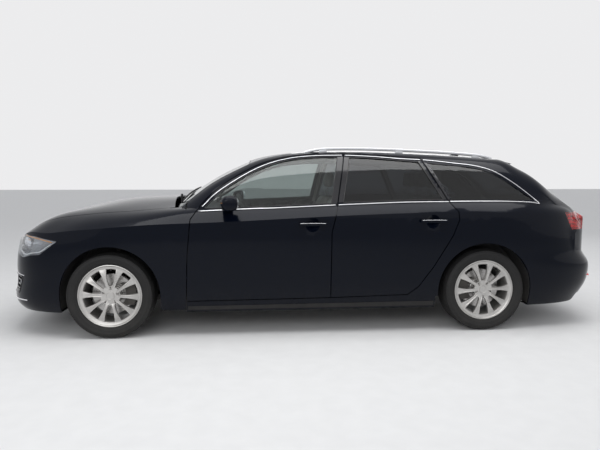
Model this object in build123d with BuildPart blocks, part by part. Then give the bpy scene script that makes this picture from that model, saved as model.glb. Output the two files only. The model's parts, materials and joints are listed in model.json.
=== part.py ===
from build123d import *
import math
import os

# A five door station wagon, in millimetres. The nose points to -X, the car's left side to -Y and up
# to +Z, with the origin on the ground below the middle of the car.

# ---- driving dimensions ----
NOSE_X = -2471.5            # front tip of the lower lip
TAIL_X = 2471.5             # rear tip of the bumper
FRONT_HUB_X = -1554.5
REAR_HUB_X = 1357.5
TYRE_RADIUS = 325.0
TYRE_WIDTH = 222.0
WHEEL_Y = 806.0             # middle of each tyre
KINGPIN_Y = 740.0           # steering axis of each front wheel
ARCH_RADIUS = 378.0
LINER_RADIUS = 392.0
LINER = 6.0
FRONT_LINER_Y = 480.0       # inner wall of the room that a steered wheel sweeps
REAR_LINER_Y = 655.0

FLOOR_BOTTOM = 225.0
FLOOR_TOP = 258.0
FLOOR_HALF_WIDTH = 760.0
GAP = 7.0                   # shut line round what opens
SKIN = 12.0                 # outer sheet with its fold
DOOR_WALL = 110.0           # a whole door with its trim, below the windows
FRAME_WALL = 34.0           # pillars and window frames
GLASS_SET_IN = 5.0          # glass lies this far behind the outer form
GLASS = 5.0
STEP_IN = 30.0              # a door's inner box stands this far inside its outer edge
BOX_GAP = 14.0              # room round the inner box, whose inner corner swings out on an arc
BOX_TOP = 980.0             # the inner box ends under the window; above it the flange is the frame
GATE_STEP_IN = 36.0         # the same for the tailgate, which narrows upwards as it swings up
STEP_DEPTH = SKIN + GAP + 3.0
# Hinge axis of each left door, and the height of the door's bottom edge there.
DOOR_HINGES = {"front": (-955.0, 273.0), "rear": (152.0, 283.5)}
DOOR_HINGE_Y = 936.0
HINGE_ROOM = 66.0           # radius that a door's front edge needs round its hinge axis
FIREWALL_X = -1040.0
FIREWALL = 55.0
CABIN_FRONT = FIREWALL_X + FIREWALL
CABIN_REAR = 2262.0
UNDERSIDE = 190.0           # flat bottom of the sills and bumpers

os.makedirs("parts", exist_ok=True)


def finish(part, name):
    """Label a finished piece and write it as a STEP file of that name."""
    part.label = name
    export_step(part, f"parts/{name}.step", write_pcurves=False)


def curve(x, table):
    """Height of a smooth line through hand placed (x, value) pairs."""
    last = len(table) - 1
    if x <= table[0][0]:
        return table[0][1]
    if x >= table[last][0]:
        return table[last][1]
    k = max(i for i in range(last) if table[i][0] <= x)

    def slope(i):
        (xa, va), (xb, vb) = table[max(i - 1, 0)], table[min(i + 1, last)]
        return (vb - va) / (xb - xa)

    (x0, v0), (x1, v1) = table[k], table[k + 1]
    h = x1 - x0
    t = (x - x0) / h
    rise = (3 * t**2 - 2 * t**3) * (v1 - v0)
    return v0 + rise + (t**3 - 2 * t**2 + t) * h * slope(k) + (t**3 - t**2) * h * slope(k + 1)


# ---- the outer form ----
# Plan of the two ends: distance back from the tip, and half width as a share of the greatest one.
NOSE_PLAN = [(0, 0), (8, 0.216), (35, 0.432), (100, 0.649), (180, 0.778), (310, 0.886), (500, 0.957),
             (720, 0.992)]
TAIL_PLAN = [(0, 0), (8, 0.216), (30, 0.454), (65, 0.649), (95, 0.724), (160, 0.822), (280, 0.908),
             (450, 0.968), (700, 1.0)]
# Height, nose, tail and half width of the lower body.
LEVELS = [(185, -2425, 2290, 870), (225, -2458, 2390, 891), (287, NOSE_X, 2422, 906),
          (350, -2462, 2454, 913), (430, -2452, TAIL_X - 2, 919), (520, -2448, 2460, 926),
          (600, -2440, 2403, 930), (700, -2420, 2378, 934), (800, -2385, 2354, 933),
          (880, -2350, 2326, 932), (960, -2310, 2275, 926), (1060, -2250, 2190, 912)]
# Lines that run the length of the car: (x, height).
HOOD_MIDDLE = [(-2560, 640), (-2440, 720), (-2360, 776), (-2226, 853), (-2114, 898), (-1990, 948),
               (-1780, 1001), (-1600, 1032), (-1396, 1050), (-1234, 1056), (-900, 1058), (-300, 1030),
               (1000, 1050), (2500, 1040)]
HOOD_EDGE = [(-2560, 500), (-2300, 725), (-2200, 800), (-2029, 884), (-1735, 941), (-1431, 962),
             (-1195, 978), (-912, 990), (-300, 1000), (700, 1035), (1700, 1038), (2500, 1030)]
BELT = [(-2560, 420), (-2300, 680), (-2100, 765), (-1929, 822), (-1735, 872), (-1431, 907),
        (-1195, 928), (-912, 957), (-564, 973), (-212, 986), (144, 1002), (674, 1022), (1106, 1025),
        (1722, 1022), (2500, 1010)]
SHOULDER = [(-2560, 380), (-2300, 620), (-2100, 715), (-1929, 775), (-1650, 832), (-1384, 861),
            (-870, 880), (-448, 898), (-217, 911), (290, 931), (657, 945), (1115, 948), (1579, 950),
            (2500, 940)]
ROOF = [(-1300, 925), (-1150, 1010), (-1050, 1072), (-943, 1140), (-785, 1240), (-609, 1327),
        (-488, 1378), (-367, 1410), (-210, 1434), (-60, 1447), (200, 1454), (450, 1452), (700, 1444),
        (1000, 1431), (1300, 1416), (1550, 1400), (1650, 1380), (1711, 1340), (1785, 1304),
        (1980, 1175), (2100, 1098), (2200, 1037), (2320, 960)]
# The roof line run on into the spoiler above the tail glass.
SPOILER_ROOF = [*ROOF[:-8], (1550, 1400), (1650, 1381), (1756, 1355), (1850, 1328), (2320, 1150)]
# Fall of the roof from its middle to the cant rail, and half width of the cabin at the belt.
ROOF_FALL = [(-1200, 100), (-785, 88), (-609, 75), (-488, 62), (-367, 50), (-210, 40), (0, 34),
             (800, 34), (1400, 40), (1700, 50), (1980, 75), (2200, 85)]
CABIN_WIDTH = [(-1250, 800), (-900, 855), (-500, 864), (0, 867), (1000, 865), (1600, 855),
               (2000, 825), (2250, 790)]
# Plan of the cabin's rear corners, which stay inside the lower body's: (x, half width).
CABIN_CORNER = [(2140, 836), (2190, 800), (2240, 758), (2290, 698), (2330, 630)]
CANT_RADIUS = 55.0
LOWEST_LIFT = 20.0          # how far the underside comes up, at most, in a form that is drawn in


def spacing(points):
    """Where the points of an outline lie along it, as shares of its length."""
    lengths = [0.0]
    for (xa, ya), (xb, yb) in zip(points, points[1:]):
        lengths.append(lengths[-1] + math.hypot(xb - xa, yb - ya))
    return [length / lengths[-1] for length in lengths]


def wrap_outline(inset, nose, tail, width):
    """The plan of the lower body at one level, once round from the tip of the nose."""
    w = width - inset
    front = [(nose + inset + dx, share * w) for dx, share in NOSE_PLAN]
    middle = [(x, w) for x in (-1250, -600, 100, 800, 1300)]
    back = [(tail - inset - dx, share * w) for dx, share in reversed(TAIL_PLAN)]
    half = front + middle + back
    return [*half, *[(x, -y) for x, y in reversed(half[1:-1])]]


def side_wrap(inset):
    """The lower body as seen from above, level by level."""
    typical = wrap_outline(0, *LEVELS[5][1:])
    knots = spacing([*typical, typical[0]])
    with BuildPart() as wrap:
        for z, nose, tail, width in LEVELS:
            lift = min(inset, LOWEST_LIFT) if z == LEVELS[0][0] else 0
            with BuildSketch(Plane.XY.offset(z + lift)):
                with BuildLine():
                    add(Edge.make_spline(wrap_outline(inset, nose, tail, width), periodic=True,
                                         parameters=knots))
                make_face()
        loft()
    return wrap.part


def shoulder_outline(inset, x):
    """Section of the hood, shoulders and sides, from the car's left side to its right."""
    middle, edge, belt, shoulder = (curve(x, line) - inset for line in
                                    (HOOD_MIDDLE, HOOD_EDGE, BELT, SHOULDER))
    half = [(0, middle), (400, middle - 0.27 * (middle - edge)), (720, edge), (865, belt),
            (930, shoulder), (1000, shoulder - 1.2 * (belt - shoulder))]
    return [*[(-y, z) for y, z in reversed(half[1:])], *half]


def shoulder_form(inset):
    """Everything under the hood, the shoulders and the belt, section by section."""
    stations = [-2560, -2440, -2330, -2200, -2029, -1850, -1650, -1431, -1195, -912, -400, 300, 1000,
                1700, 2100, 2520]
    knots = spacing(shoulder_outline(0, -1650))
    with BuildPart() as form:
        for x in stations:
            with BuildSketch(Plane.YZ.offset(x)):
                with BuildLine():
                    arch = add(Edge.make_spline(shoulder_outline(inset, x), parameters=knots))
                    Polyline(arch.edge() @ 1, (1000, 0), (-1000, 0), arch.edge() @ 0)
                make_face()
        loft()
    return form.part


def side_y(width, rise):
    """Half width of the cabin at a height above the belt: it leans in, more and more."""
    return width - 0.42 * rise - 0.0003 * rise * abs(rise)


def cabin_outline(inset, x, roof):
    """Section of the glasshouse, from the car's left side to its right."""
    top = curve(x, roof) - 1.1 * inset
    fall = curve(x, ROOF_FALL)
    width = curve(x, CABIN_WIDTH) - inset
    base = min(curve(x, BELT), top - fall - 170)
    rail = top - fall
    rise = rail - base
    rail_y = side_y(width, rise)
    half = [(share * rail_y, top - fall * share**2.2) for share in (0, 0.4, 0.72)]
    half += [(rail_y - CANT_RADIUS, top - fall * (1 - CANT_RADIUS / rail_y)**2.2),
             (rail_y - 0.22 * CANT_RADIUS, rail - 0.26 * CANT_RADIUS),
             (side_y(width, rise - 1.1 * CANT_RADIUS), rail - 1.1 * CANT_RADIUS),
             (side_y(width, 0.4 * rise), base + 0.4 * rise),
             (width, base), (side_y(width, -70), base - 70)]
    return [*[(-y, z) for y, z in reversed(half[1:])], *half]


def cabin_form(inset, roof=ROOF):
    """The glasshouse, from the foot of the windscreen to the foot of the tail glass."""
    stations = [-1300, -1180, -1060, -937, -785, -609, -450, -300, -100, 200, 550, 900, 1250, 1500,
                1620, 1711, 1785, 1870, 1980, 2100, 2200, 2320]
    knots = spacing(cabin_outline(0, -450, ROOF))
    with BuildPart() as form:
        for x in stations:
            outline = cabin_outline(inset, x, roof)
            foot = outline[-1][0]
            with BuildSketch(Plane.YZ.offset(x)):
                with BuildLine():
                    arch = add(Edge.make_spline(outline, parameters=knots))
                    Polyline(arch.edge() @ 1, (foot, 500), (-foot, 500), arch.edge() @ 0)
                make_face()
        loft()
        with BuildSketch(Plane.XY.offset(400)):
            with BuildLine():
                corner = Spline(*[(x - inset, y - inset) for x, y in CABIN_CORNER])
                Polyline(corner @ 1, (2330 - inset, 0), (-1400, 0), (-1400, 1000), (2140 - inset, 1000),
                         corner @ 0)
            make_face()
            mirror(about=Plane.XZ)
        extrude(amount=1200, mode=Mode.INTERSECT)
    return form.part


def body_volume(inset):
    """The closed outer form, or that form drawn in by a wall's thickness."""
    wrap, shoulders, cabin = side_wrap(inset), shoulder_form(inset), cabin_form(inset)
    with BuildPart() as volume:
        add(wrap)
        add(shoulders, mode=Mode.INTERSECT)
        add(cabin)
    return volume.part


def drawn_in(points, distance):
    """The corners of a closed outline, each moved inwards square to both of its edges."""
    count = len(points)
    twice_area = sum(points[i - 1][0] * points[i][1] - points[i][0] * points[i - 1][1] for i in range(count))
    turn = 1 if twice_area > 0 else -1
    moved = []
    for i, (x, y) in enumerate(points):
        (xa, ya), (xb, yb) = points[i - 1], points[(i + 1) % count]
        before, after = math.hypot(x - xa, y - ya), math.hypot(xb - x, yb - y)
        nx1, ny1 = -turn * (y - ya) / before, turn * (x - xa) / before
        nx2, ny2 = -turn * (yb - y) / after, turn * (xb - x) / after
        reach = distance / (1 + nx1 * nx2 + ny1 * ny2)
        moved.append((x + reach * (nx1 + nx2), y + reach * (ny1 + ny2)))
    return moved


def side_prism(side, top=(), inset=0.0, near=0.0, far=1100.0):
    """A block across the left side of the car, from a closed (x, z) outline with a curved top."""
    points = drawn_in([*top, *side], inset)
    with BuildPart() as prism:
        with BuildSketch(Plane.XZ.offset(near)):
            with BuildLine():
                if top:
                    edge = Spline(*points[:len(top)])
                    Polyline(edge @ 1, *points[len(top):], edge @ 0)
                else:
                    Polyline(*points, close=True)
            make_face()
        extrude(amount=far - near)
    return prism.part


def plan_prism(half, bottom=0.0, top=1600.0, inset=0.0):
    """An upright block, from the (x, y) points of one half of its plan; both halves are alike."""
    points = drawn_in([*half, *[(x, -y) for x, y in reversed(half) if y]], inset)
    with BuildPart() as prism:
        with BuildSketch(Plane.XY.offset(bottom)):
            with BuildLine():
                Polyline(*points, close=True)
            make_face()
        extrude(amount=top - bottom)
    return prism.part


def end_prism(half, start, end, inset=0.0):
    """A block along the car, from the (y, z) points of one half of its outline seen from behind."""
    points = drawn_in([*half, *[(-y, z) for y, z in reversed(half) if y]], inset)
    with BuildPart() as prism:
        with BuildSketch(Plane.YZ.offset(start)):
            with BuildLine():
                Polyline(*points, close=True)
            make_face()
        extrude(amount=end - start)
    return prism.part


def block(x0, x1, y0, y1, z0, z1):
    """A plain box between two corners."""
    with BuildPart(Plane.XY.offset(z0)) as box:
        with Locations(((x0 + x1) / 2, (y0 + y1) / 2, 0)):
            Box(x1 - x0, y1 - y0, z1 - z0, align=(Align.CENTER, Align.CENTER, Align.MIN))
    return box.part


def common(first, *others):
    """What several solids share."""
    with BuildPart() as shared:
        add(first)
        for other in others:
            add(other, mode=Mode.INTERSECT)
    return shared.part


def fuse(*parts):
    """Several solids as one."""
    with BuildPart() as whole:
        for part in parts:
            add(part)
    return whole.part


def without(first, *others):
    """A solid with others cut away."""
    with BuildPart() as rest:
        add(first)
        for other in others:
            add(other, mode=Mode.SUBTRACT)
    return rest.part


def other_side(part):
    """The same piece for the right side of the car."""
    with BuildPart() as twin:
        add(part)
        mirror(about=Plane.XZ, mode=Mode.REPLACE)
    return twin.part


def both_sides(part, name):
    """One node that holds a left piece and its right twin."""
    with BuildPart() as pair:
        add(part)
        mirror(about=Plane.XZ)
    finish(pair.part, name)


# ---- walls: the outer form, hollowed to different depths ----
outer_form = common(body_volume(0), block(-2600, 2600, -1100, 1100, UNDERSIDE, 1600))
skin_form = body_volume(SKIN)
step_form = body_volume(STEP_DEPTH)
lower_room = common(side_wrap(DOOR_WALL), block(CABIN_FRONT, CABIN_REAR, -900, 900, FLOOR_TOP, 930))
upper_room = common(cabin_form(FRAME_WALL), block(CABIN_FRONT, CABIN_REAR, -900, 900, 880, 1500))
left_half = block(-2600, 2600, -1100, 0, 0, 1600)
left_form = common(outer_form, left_half)

skin = without(outer_form, skin_form)
wall = without(outer_form, lower_room, upper_room)
left_skin = common(skin, left_half)
left_wall = common(wall, left_half)
left_step = without(left_form, step_form)

# ---- outlines ----
# The line between the doors on the B pillar, from top to bottom, as (x, z).
B_LINE = [(262, 1413), (179, 1003), (128, 797), (124, 416), (124, 286)]
FRONT_DOOR_TOP = [(-912, 952), (-768, 1114), (-582, 1243), (-395, 1335), (-205, 1386), (-19, 1408),
                  (262, 1413)]
FRONT_DOOR_SIDE = [*B_LINE[1:], (-985, 276), (-973, 598), (-945, 904)]
REAR_DOOR_TOP = [(262, 1413), (540, 1401), (712, 1387), (884, 1376)]
REAR_DOOR_SIDE = [(1058, 1040), (1125, 950), (1131, 887), (1085, 770), (934, 520), (818, 362), (733, 300),
                  (124, 286), *reversed(B_LINE[1:-1])]
FRONT_GLASS_TOP = [(-845, 982), (-731, 1092), (-562, 1208), (-382, 1297), (-203, 1350), (-19, 1374),
                   (205, 1380)]
FRONT_GLASS_SIDE = [(132, 1016), (-212, 1001), (-564, 988)]
REAR_GLASS_TOP = [(303, 1378), (540, 1367), (712, 1353), (860, 1342)]
REAR_GLASS_SIDE = [(1022, 1040), (674, 1038), (226, 1022)]
QUARTER_GLASS_TOP = [(925, 1338), (1159, 1316), (1320, 1296), (1466, 1251), (1604, 1163), (1722, 1076),
                     (1780, 1038)]
QUARTER_GLASS_SIDE = [(1400, 1041), (1092, 1040)]
# Plans, as (x, half width).
WINDSCREEN_PLAN = [(-1120, 0), (-1120, 742), (-1000, 722), (-500, 612), (-500, 0)]
ROOF_PLAN = [(-500, 0), (-500, 612), (-200, 588), (300, 578), (1200, 570), (1652, 545), (1652, 0)]
HOOD_PLAN = [(-1128, 0), (-1128, 300), (-1100, 560), (-1078, 722), (-1431, 742), (-1735, 738),
             (-2029, 705), (-2200, 640), (-2290, 545), (-2352, 400), (-2388, 200), (-2396, 0)]
TAILGATE = [(0, 1500), (560, 1500), (560, 1360), (640, 1200), (716, 1010), (690, 880), (640, 640),
            (600, 600), (0, 600)]
TAIL_GLASS = [(0, 1298), (520, 1290), (560, 1210), (615, 1062), (590, 1048), (0, 1048)]

GRILLE = [(0, 690), (330, 690), (405, 560), (300, 292), (0, 292)]
INTAKE = [(-480, 470), (-730, 452), (-690, 330), (-450, 318)]
GATE_FRONT = 1652 + GAP
GATE_GAP = 8.5              # wider than GAP, because the tailgate narrows upwards
SPOILER = [(GATE_FRONT, 1500), (GATE_FRONT, 1350), (1700, 1331), (1750, 1344), (1757, 1352), (1757, 1500)]
SPOILER_HALF_WIDTH = 556.0

door_seam = [(-998.8, 0), (-976.5, 598), (-948.5, 904), (-928, 950), (-1002, 975), (-1002, 1120)]
fender_region = side_prism([*door_seam, (-2600, 1120), (-2600, 0)])
nose_region = block(-2600, -2240, -430, 430, 0, 800)
front_bumper_region = side_prism([(-1935, 0), (-1935, 560), (-2074, 640), (-2162, 630), (-2240, 606),
                                  (-2330, 640), (-2600, 700), (-2600, 0)])
headlamp_region = side_prism([(-1932, 742), (-2074, 640), (-2162, 630), (-2240, 606), (-2330, 640),
                              (-2600, 700), (-2600, 790), (-2271, 790), (-2100, 772)], near=430)
windscreen_region = plan_prism(WINDSCREEN_PLAN, bottom=930)
roof_region = plan_prism(ROOF_PLAN, bottom=1200)
tailgate_region = end_prism(TAILGATE, 1652, 2600)
rear_bumper_region = side_prism([(1700, 0), (1700, 480), (1838, 520), (1961, 552), (2235, 596.5),
                                 (2600, 596.5), (2600, 0)])
tail_lamp_region = side_prism([(2048, 938), (2074, 880), (2118, 797), (2600, 790), (2600, 930),
                               (2146, 934)], near=560)
floor_region = block(-2600, 2600, -FLOOR_HALF_WIDTH, FLOOR_HALF_WIDTH, 0, FLOOR_TOP)
hood_region = plan_prism(HOOD_PLAN, bottom=640)


def wheel_space(hub_x, radius, near, far=1100.0):
    """The round room for a wheel on both sides of the car, open at the bottom."""
    with BuildPart() as room:
        with BuildSketch(Plane.XZ.offset(near)):
            with Locations((hub_x, TYRE_RADIUS)):
                Circle(radius)
            with Locations((hub_x, 0)):
                Rectangle(2 * radius, TYRE_RADIUS, align=(Align.CENTER, Align.MIN))
        extrude(amount=far - near)
        mirror(about=Plane.XZ)
    return room.part


arches = [wheel_space(x, ARCH_RADIUS, 700) for x in (FRONT_HUB_X, REAR_HUB_X)]
liner_places = ((FRONT_HUB_X, FRONT_LINER_Y), (REAR_HUB_X, REAR_LINER_Y))
wheel_rooms = [wheel_space(x, LINER_RADIUS, near, 905) for x, near in liner_places]
housings = [wheel_space(x, LINER_RADIUS + LINER, near - LINER, 905) for x, near in liner_places]

# ---- lamps ----
headlamp = without(common(left_form, headlamp_region), side_wrap(85), hood_region)
both_sides(headlamp, "headlamps")
tail_lamp_form = without(common(left_form, tail_lamp_region), side_wrap(60))
tail_lamp = without(tail_lamp_form, tailgate_region)
both_sides(tail_lamp, "tail_lamps")
gate_lamp = common(tail_lamp_form, end_prism(TAILGATE, 1652, 2600, inset=GATE_GAP))
both_sides(gate_lamp, "tailgate_lamps")


# ---- doors, and the openings that they close ----
HANDLE_LENGTH, HANDLE_HEIGHT, HANDLE_THICK = 214.0, 27.0, 13.0
HANDLE_Y = 962.0            # outer face of the grips
CUP_RADIUS, CUP_Y = 80.0, 990.0


def handle(x, z):
    """A left door handle: a rounded grip on two feet that reach into the door's skin."""
    with BuildPart() as grip:
        with BuildSketch(Plane.XZ.offset(HANDLE_Y - HANDLE_THICK)):
            with Locations((x, z)):
                SlotOverall(HANDLE_LENGTH, HANDLE_HEIGHT)
        extrude(amount=HANDLE_THICK)
        fillet(grip.faces().sort_by(Axis.Y)[0].edges(), 5)
        with BuildSketch(Plane.XZ.offset(HANDLE_Y - HANDLE_THICK)):
            with Locations((x - 82, z), (x + 82, z)):
                SlotOverall(34, 20)
        extrude(amount=-30)
    return grip.part


def cup(x, z):
    """The round hollow behind a grip."""
    with BuildPart() as hollow:
        with Locations((x, -CUP_Y, z - 6)):
            Sphere(CUP_RADIUS)
    return hollow.part


def door(side, top, glass_side, glass_top, grip_at):
    """One left door: a thin outer flange on a thick inner box, a window cut through, and its handle."""
    flange = common(left_skin, side_prism(side, top, inset=GAP / 2))
    box = common(left_wall, side_prism(side, top, inset=STEP_IN), block(-2600, 2600, -1100, 0, 0, BOX_TOP))
    with BuildPart() as leaf:
        add(flange)
        add(box)
        add(side_prism(glass_side, glass_top), mode=Mode.SUBTRACT)
        add(cup(*grip_at), mode=Mode.SUBTRACT)
        add(handle(*grip_at))
    return leaf.part


def door_room(side, top, hinge_x, bottom):
    """What the body leaves free for one left door, with round room for its edge at the hinges."""
    shallow = common(left_step, side_prism(side, top, inset=-GAP / 2))
    with BuildPart() as room:
        with BuildSketch(Plane.XY.offset(bottom)):
            with Locations((hinge_x, -DOOR_HINGE_Y)):
                Circle(HINGE_ROOM)
        extrude(amount=915 - bottom)
        add(shallow)
        add(side_prism(side, top, inset=STEP_IN - BOX_GAP, near=400))
    return room.part


def glass_pane(form, under, region):
    """A pane cut from the sheet between two nested forms."""
    return without(common(form, region), under)


DOORS = {"front": (FRONT_DOOR_SIDE, FRONT_DOOR_TOP, FRONT_GLASS_SIDE, FRONT_GLASS_TOP, (-20, 864)),
         "rear": (REAR_DOOR_SIDE, REAR_DOOR_TOP, REAR_GLASS_SIDE, REAR_GLASS_TOP, (922, 883))}
glass_outer, glass_inner = cabin_form(GLASS_SET_IN), cabin_form(GLASS_SET_IN + GLASS)
door_rooms = []
for place, (side, top, glass_side, glass_top, grip_at) in DOORS.items():
    leaf = door(side, top, glass_side, glass_top, grip_at)
    pane = glass_pane(glass_outer, glass_inner, side_prism(glass_side, glass_top))
    door_rooms.append(door_room(side, top, *DOOR_HINGES[place]))
    for piece, name in ((leaf, f"door_{place}"), (pane, f"door_glass_{place}")):
        finish(piece, f"{name}_left")
        finish(other_side(piece), f"{name}_right")

quarter_window = side_prism(QUARTER_GLASS_SIDE, QUARTER_GLASS_TOP)
both_sides(glass_pane(glass_outer, glass_inner, quarter_window), "quarter_glass")
screen_room = common(windscreen_region, block(-1058, -480, -900, 900, 900, 1500))
finish(glass_pane(glass_outer, glass_inner, screen_room), "windscreen")

# ---- body panels that stay ----
with BuildPart() as frame:
    add(left_wall)
    add(block(CABIN_FRONT, 2600, -1100, -540, 0, 1500), mode=Mode.INTERSECT)
    add(common(left_step, fender_region), mode=Mode.SUBTRACT)
    for region in (windscreen_region, roof_region, tailgate_region, rear_bumper_region, floor_region,
                   quarter_window, tail_lamp, *housings, *arches, *door_rooms):
        add(region, mode=Mode.SUBTRACT)
both_sides(frame.part, "side_frames")

finish(common(wall, roof_region), "roof_panel")

with BuildPart() as fender:
    add(left_skin)
    add(fender_region, mode=Mode.INTERSECT)
    for region in (hood_region, windscreen_region, front_bumper_region, nose_region, headlamp,
                   headlamp_region, arches[0], block(-2600, 0, -1100, 0, 0, 205),
                   block(-1200, -1100, -560, 0, 900, 1100)):
        add(region, mode=Mode.SUBTRACT)
both_sides(fender.part, "fenders")

hood_skin = common(skin, plan_prism(HOOD_PLAN, bottom=640, inset=GAP))
finish(hood_skin, "hood")

grille_hole = end_prism(GRILLE, -2600, -2250)


def intake_hole(inset=0.0):
    """Prisms along the car through the intakes on both sides of the grille."""
    with BuildPart() as holes:
        with BuildSketch(Plane.YZ.offset(-2600)):
            with BuildLine():
                Polyline(*drawn_in(INTAKE, inset), close=True)
            make_face()
        extrude(amount=450)
        mirror(about=Plane.XZ)
    return holes.part


with BuildPart() as bumper:
    add(skin)
    add(fuse(front_bumper_region, other_side(front_bumper_region), nose_region), mode=Mode.INTERSECT)
    for region in (hood_region, grille_hole, intake_hole(), headlamp, other_side(headlamp),
                   headlamp_region, other_side(headlamp_region), arches[0]):
        add(region, mode=Mode.SUBTRACT)
finish(bumper.part, "front_bumper")

with BuildPart() as bumper:
    add(skin)
    add(fuse(rear_bumper_region, other_side(rear_bumper_region)), mode=Mode.INTERSECT)
    for region in (floor_region, arches[1]):
        add(region, mode=Mode.SUBTRACT)
finish(bumper.part, "rear_bumper")

with BuildPart() as gate:
    add(common(skin, end_prism(TAILGATE, GATE_FRONT, 2600, inset=GATE_GAP)))
    add(common(wall, end_prism(TAILGATE, GATE_FRONT, 2600, inset=GATE_STEP_IN)))
    for region in (end_prism(TAIL_GLASS, 1700, 2600), gate_lamp, other_side(gate_lamp)):
        add(region, mode=Mode.SUBTRACT)
    add(common(cabin_form(0, SPOILER_ROOF),
               side_prism(SPOILER, near=-SPOILER_HALF_WIDTH, far=SPOILER_HALF_WIDTH)))
finish(gate.part, "tailgate")
finish(glass_pane(glass_outer, glass_inner, end_prism(TAIL_GLASS, 1700, 2600)), "tailgate_glass")


# ---- wheels ----
RIM_SEAT = 218.0
RIM_FLANGE = 238.0
RIM_BARREL = 206.0
RIM_INNER_Y, RIM_OUTER_Y = 713.0, 899.0
SPOKES = 10
SPOKE_Y = 893.0             # outer face of the spokes
SPOKE_DEPTH = 26.0
HUB_RADIUS = 72.0
BOLT_CIRCLE = 56.0
BOLT_HOLE = 7.5
CENTRE_BORE = 28.0
DISC_RADIUS = 156.0
DISC_Y = 796.0
DISC = 24.0
STUB_RADIUS = 24.0
RUNNING_FIT = 0.05
# Hub, side of the car, and how far round the wheel stands, in degrees.
WHEELS = {"front_left": (FRONT_HUB_X, 1, 33), "front_right": (FRONT_HUB_X, -1, 33),
          "rear_left": (REAR_HUB_X, 1, 3), "rear_right": (REAR_HUB_X, -1, 3)}


def turned(profile, hub_x):
    """A left wheel's piece, turned about its hub from (radius, distance out from the car's middle)."""
    with BuildPart() as piece:
        with BuildSketch(Plane(origin=(hub_x, 0, TYRE_RADIUS), x_dir=(1, 0, 0), z_dir=(0, 0, 1))):
            with BuildLine():
                Polyline(*[(radius, -out) for radius, out in profile], close=True)
            make_face()
        revolve(axis=Axis((hub_x, 0, TYRE_RADIUS), (0, 1, 0)))
    return piece.part


def tyre(hub_x):
    """A tyre with beads inside the rim's flanges, bulged walls, round shoulders and a flat tread."""
    half = TYRE_WIDTH / 2
    rim_half = WHEEL_Y - RIM_INNER_Y
    flank = [(TYRE_RADIUS, 0.68 * half), (TYRE_RADIUS - 3, 0.82 * half), (TYRE_RADIUS - 12, 0.93 * half),
             (TYRE_RADIUS - 48, half), (TYRE_RADIUS - 74, 0.97 * half), (RIM_FLANGE + 2, rim_half + 6),
             (RIM_FLANGE + 1, rim_half - 7), (RIM_SEAT, rim_half - 10)]
    profile = [(radius, WHEEL_Y + out) for radius, out in flank]
    profile += [(radius, WHEEL_Y - out) for radius, out in reversed(flank)]
    return turned(profile, hub_x)


def rim(hub_x, turn):
    """A barrel between two flanges, ten spokes on a bolted hub, and the brake disc behind them."""
    barrel = turned([(RIM_BARREL, RIM_INNER_Y), (RIM_FLANGE, RIM_INNER_Y), (RIM_FLANGE, RIM_INNER_Y + 6.8),
                     (RIM_SEAT, RIM_INNER_Y + 10), (RIM_SEAT, RIM_OUTER_Y - 10),
                     (RIM_FLANGE, RIM_OUTER_Y - 6.8), (RIM_FLANGE, RIM_OUTER_Y), (RIM_SEAT + 6, RIM_OUTER_Y),
                     (RIM_BARREL, RIM_OUTER_Y - 12)], hub_x)
    disc = turned([(STUB_RADIUS + RUNNING_FIT, DISC_Y - DISC / 2), (DISC_RADIUS, DISC_Y - DISC / 2),
                   (DISC_RADIUS, DISC_Y + DISC / 2), (HUB_RADIUS + 12, DISC_Y + DISC / 2),
                   (HUB_RADIUS, SPOKE_Y - SPOKE_DEPTH), (CENTRE_BORE, SPOKE_Y - SPOKE_DEPTH),
                   (CENTRE_BORE, DISC_Y + 40), (STUB_RADIUS + RUNNING_FIT, DISC_Y + 40)], hub_x)
    hub_plane = Plane(origin=(hub_x, -(SPOKE_Y - SPOKE_DEPTH), TYRE_RADIUS), x_dir=(1, 0, 0), z_dir=(0, -1, 0))
    with BuildPart() as wheel:
        add(barrel)
        add(disc)
        with BuildSketch(hub_plane):
            Circle(HUB_RADIUS)
        extrude(amount=SPOKE_DEPTH - 8)
        with BuildSketch(hub_plane):
            with PolarLocations(0, SPOKES, start_angle=turn):
                Polygon((HUB_RADIUS - 14, -13), (RIM_BARREL - 86, -12), (RIM_BARREL - 16, -22),
                        (RIM_BARREL + 8, -29), (RIM_BARREL + 8, 29), (RIM_BARREL - 16, 22),
                        (RIM_BARREL - 86, 12), (HUB_RADIUS - 14, 13), align=None)
        extrude(amount=SPOKE_DEPTH)
        with BuildSketch(hub_plane.offset(SPOKE_DEPTH)):
            Circle(HUB_RADIUS - 26)
            with PolarLocations(BOLT_CIRCLE, 5, start_angle=turn):
                Circle(BOLT_HOLE + 4)
        extrude(amount=-12, mode=Mode.SUBTRACT)
        with BuildSketch(hub_plane.offset(-60)):
            with PolarLocations(BOLT_CIRCLE, 5, start_angle=turn):
                Circle(BOLT_HOLE)
        extrude(amount=100, mode=Mode.SUBTRACT)
    return wheel.part


for place, (hub_x, side, turn) in WHEELS.items():
    for piece, name in ((tyre(hub_x), "tyre"), (rim(hub_x, turn), "rim")):
        finish(piece if side > 0 else other_side(piece), f"{name}_{place}")


def bar(points, radius):
    """A round bar along a path with bent corners."""
    with BuildPart() as rod:
        with BuildLine() as path:
            if len(points) > 2:
                FilletPolyline(*points, radius=3 * radius)
            else:
                Line(*points)
        with BuildSketch(Plane(origin=path.line @ 0, z_dir=path.line % 0)):
            Circle(radius)
        sweep()
    return rod.part


# ---- front axle ----
ARM_LOW, ARM_HIGH = 222.0, 428.0      # heights of the two ball joints
ARM_THICK = 24.0
ARM_EYE = 30.0
PIN_RADIUS = 11.0


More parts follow.
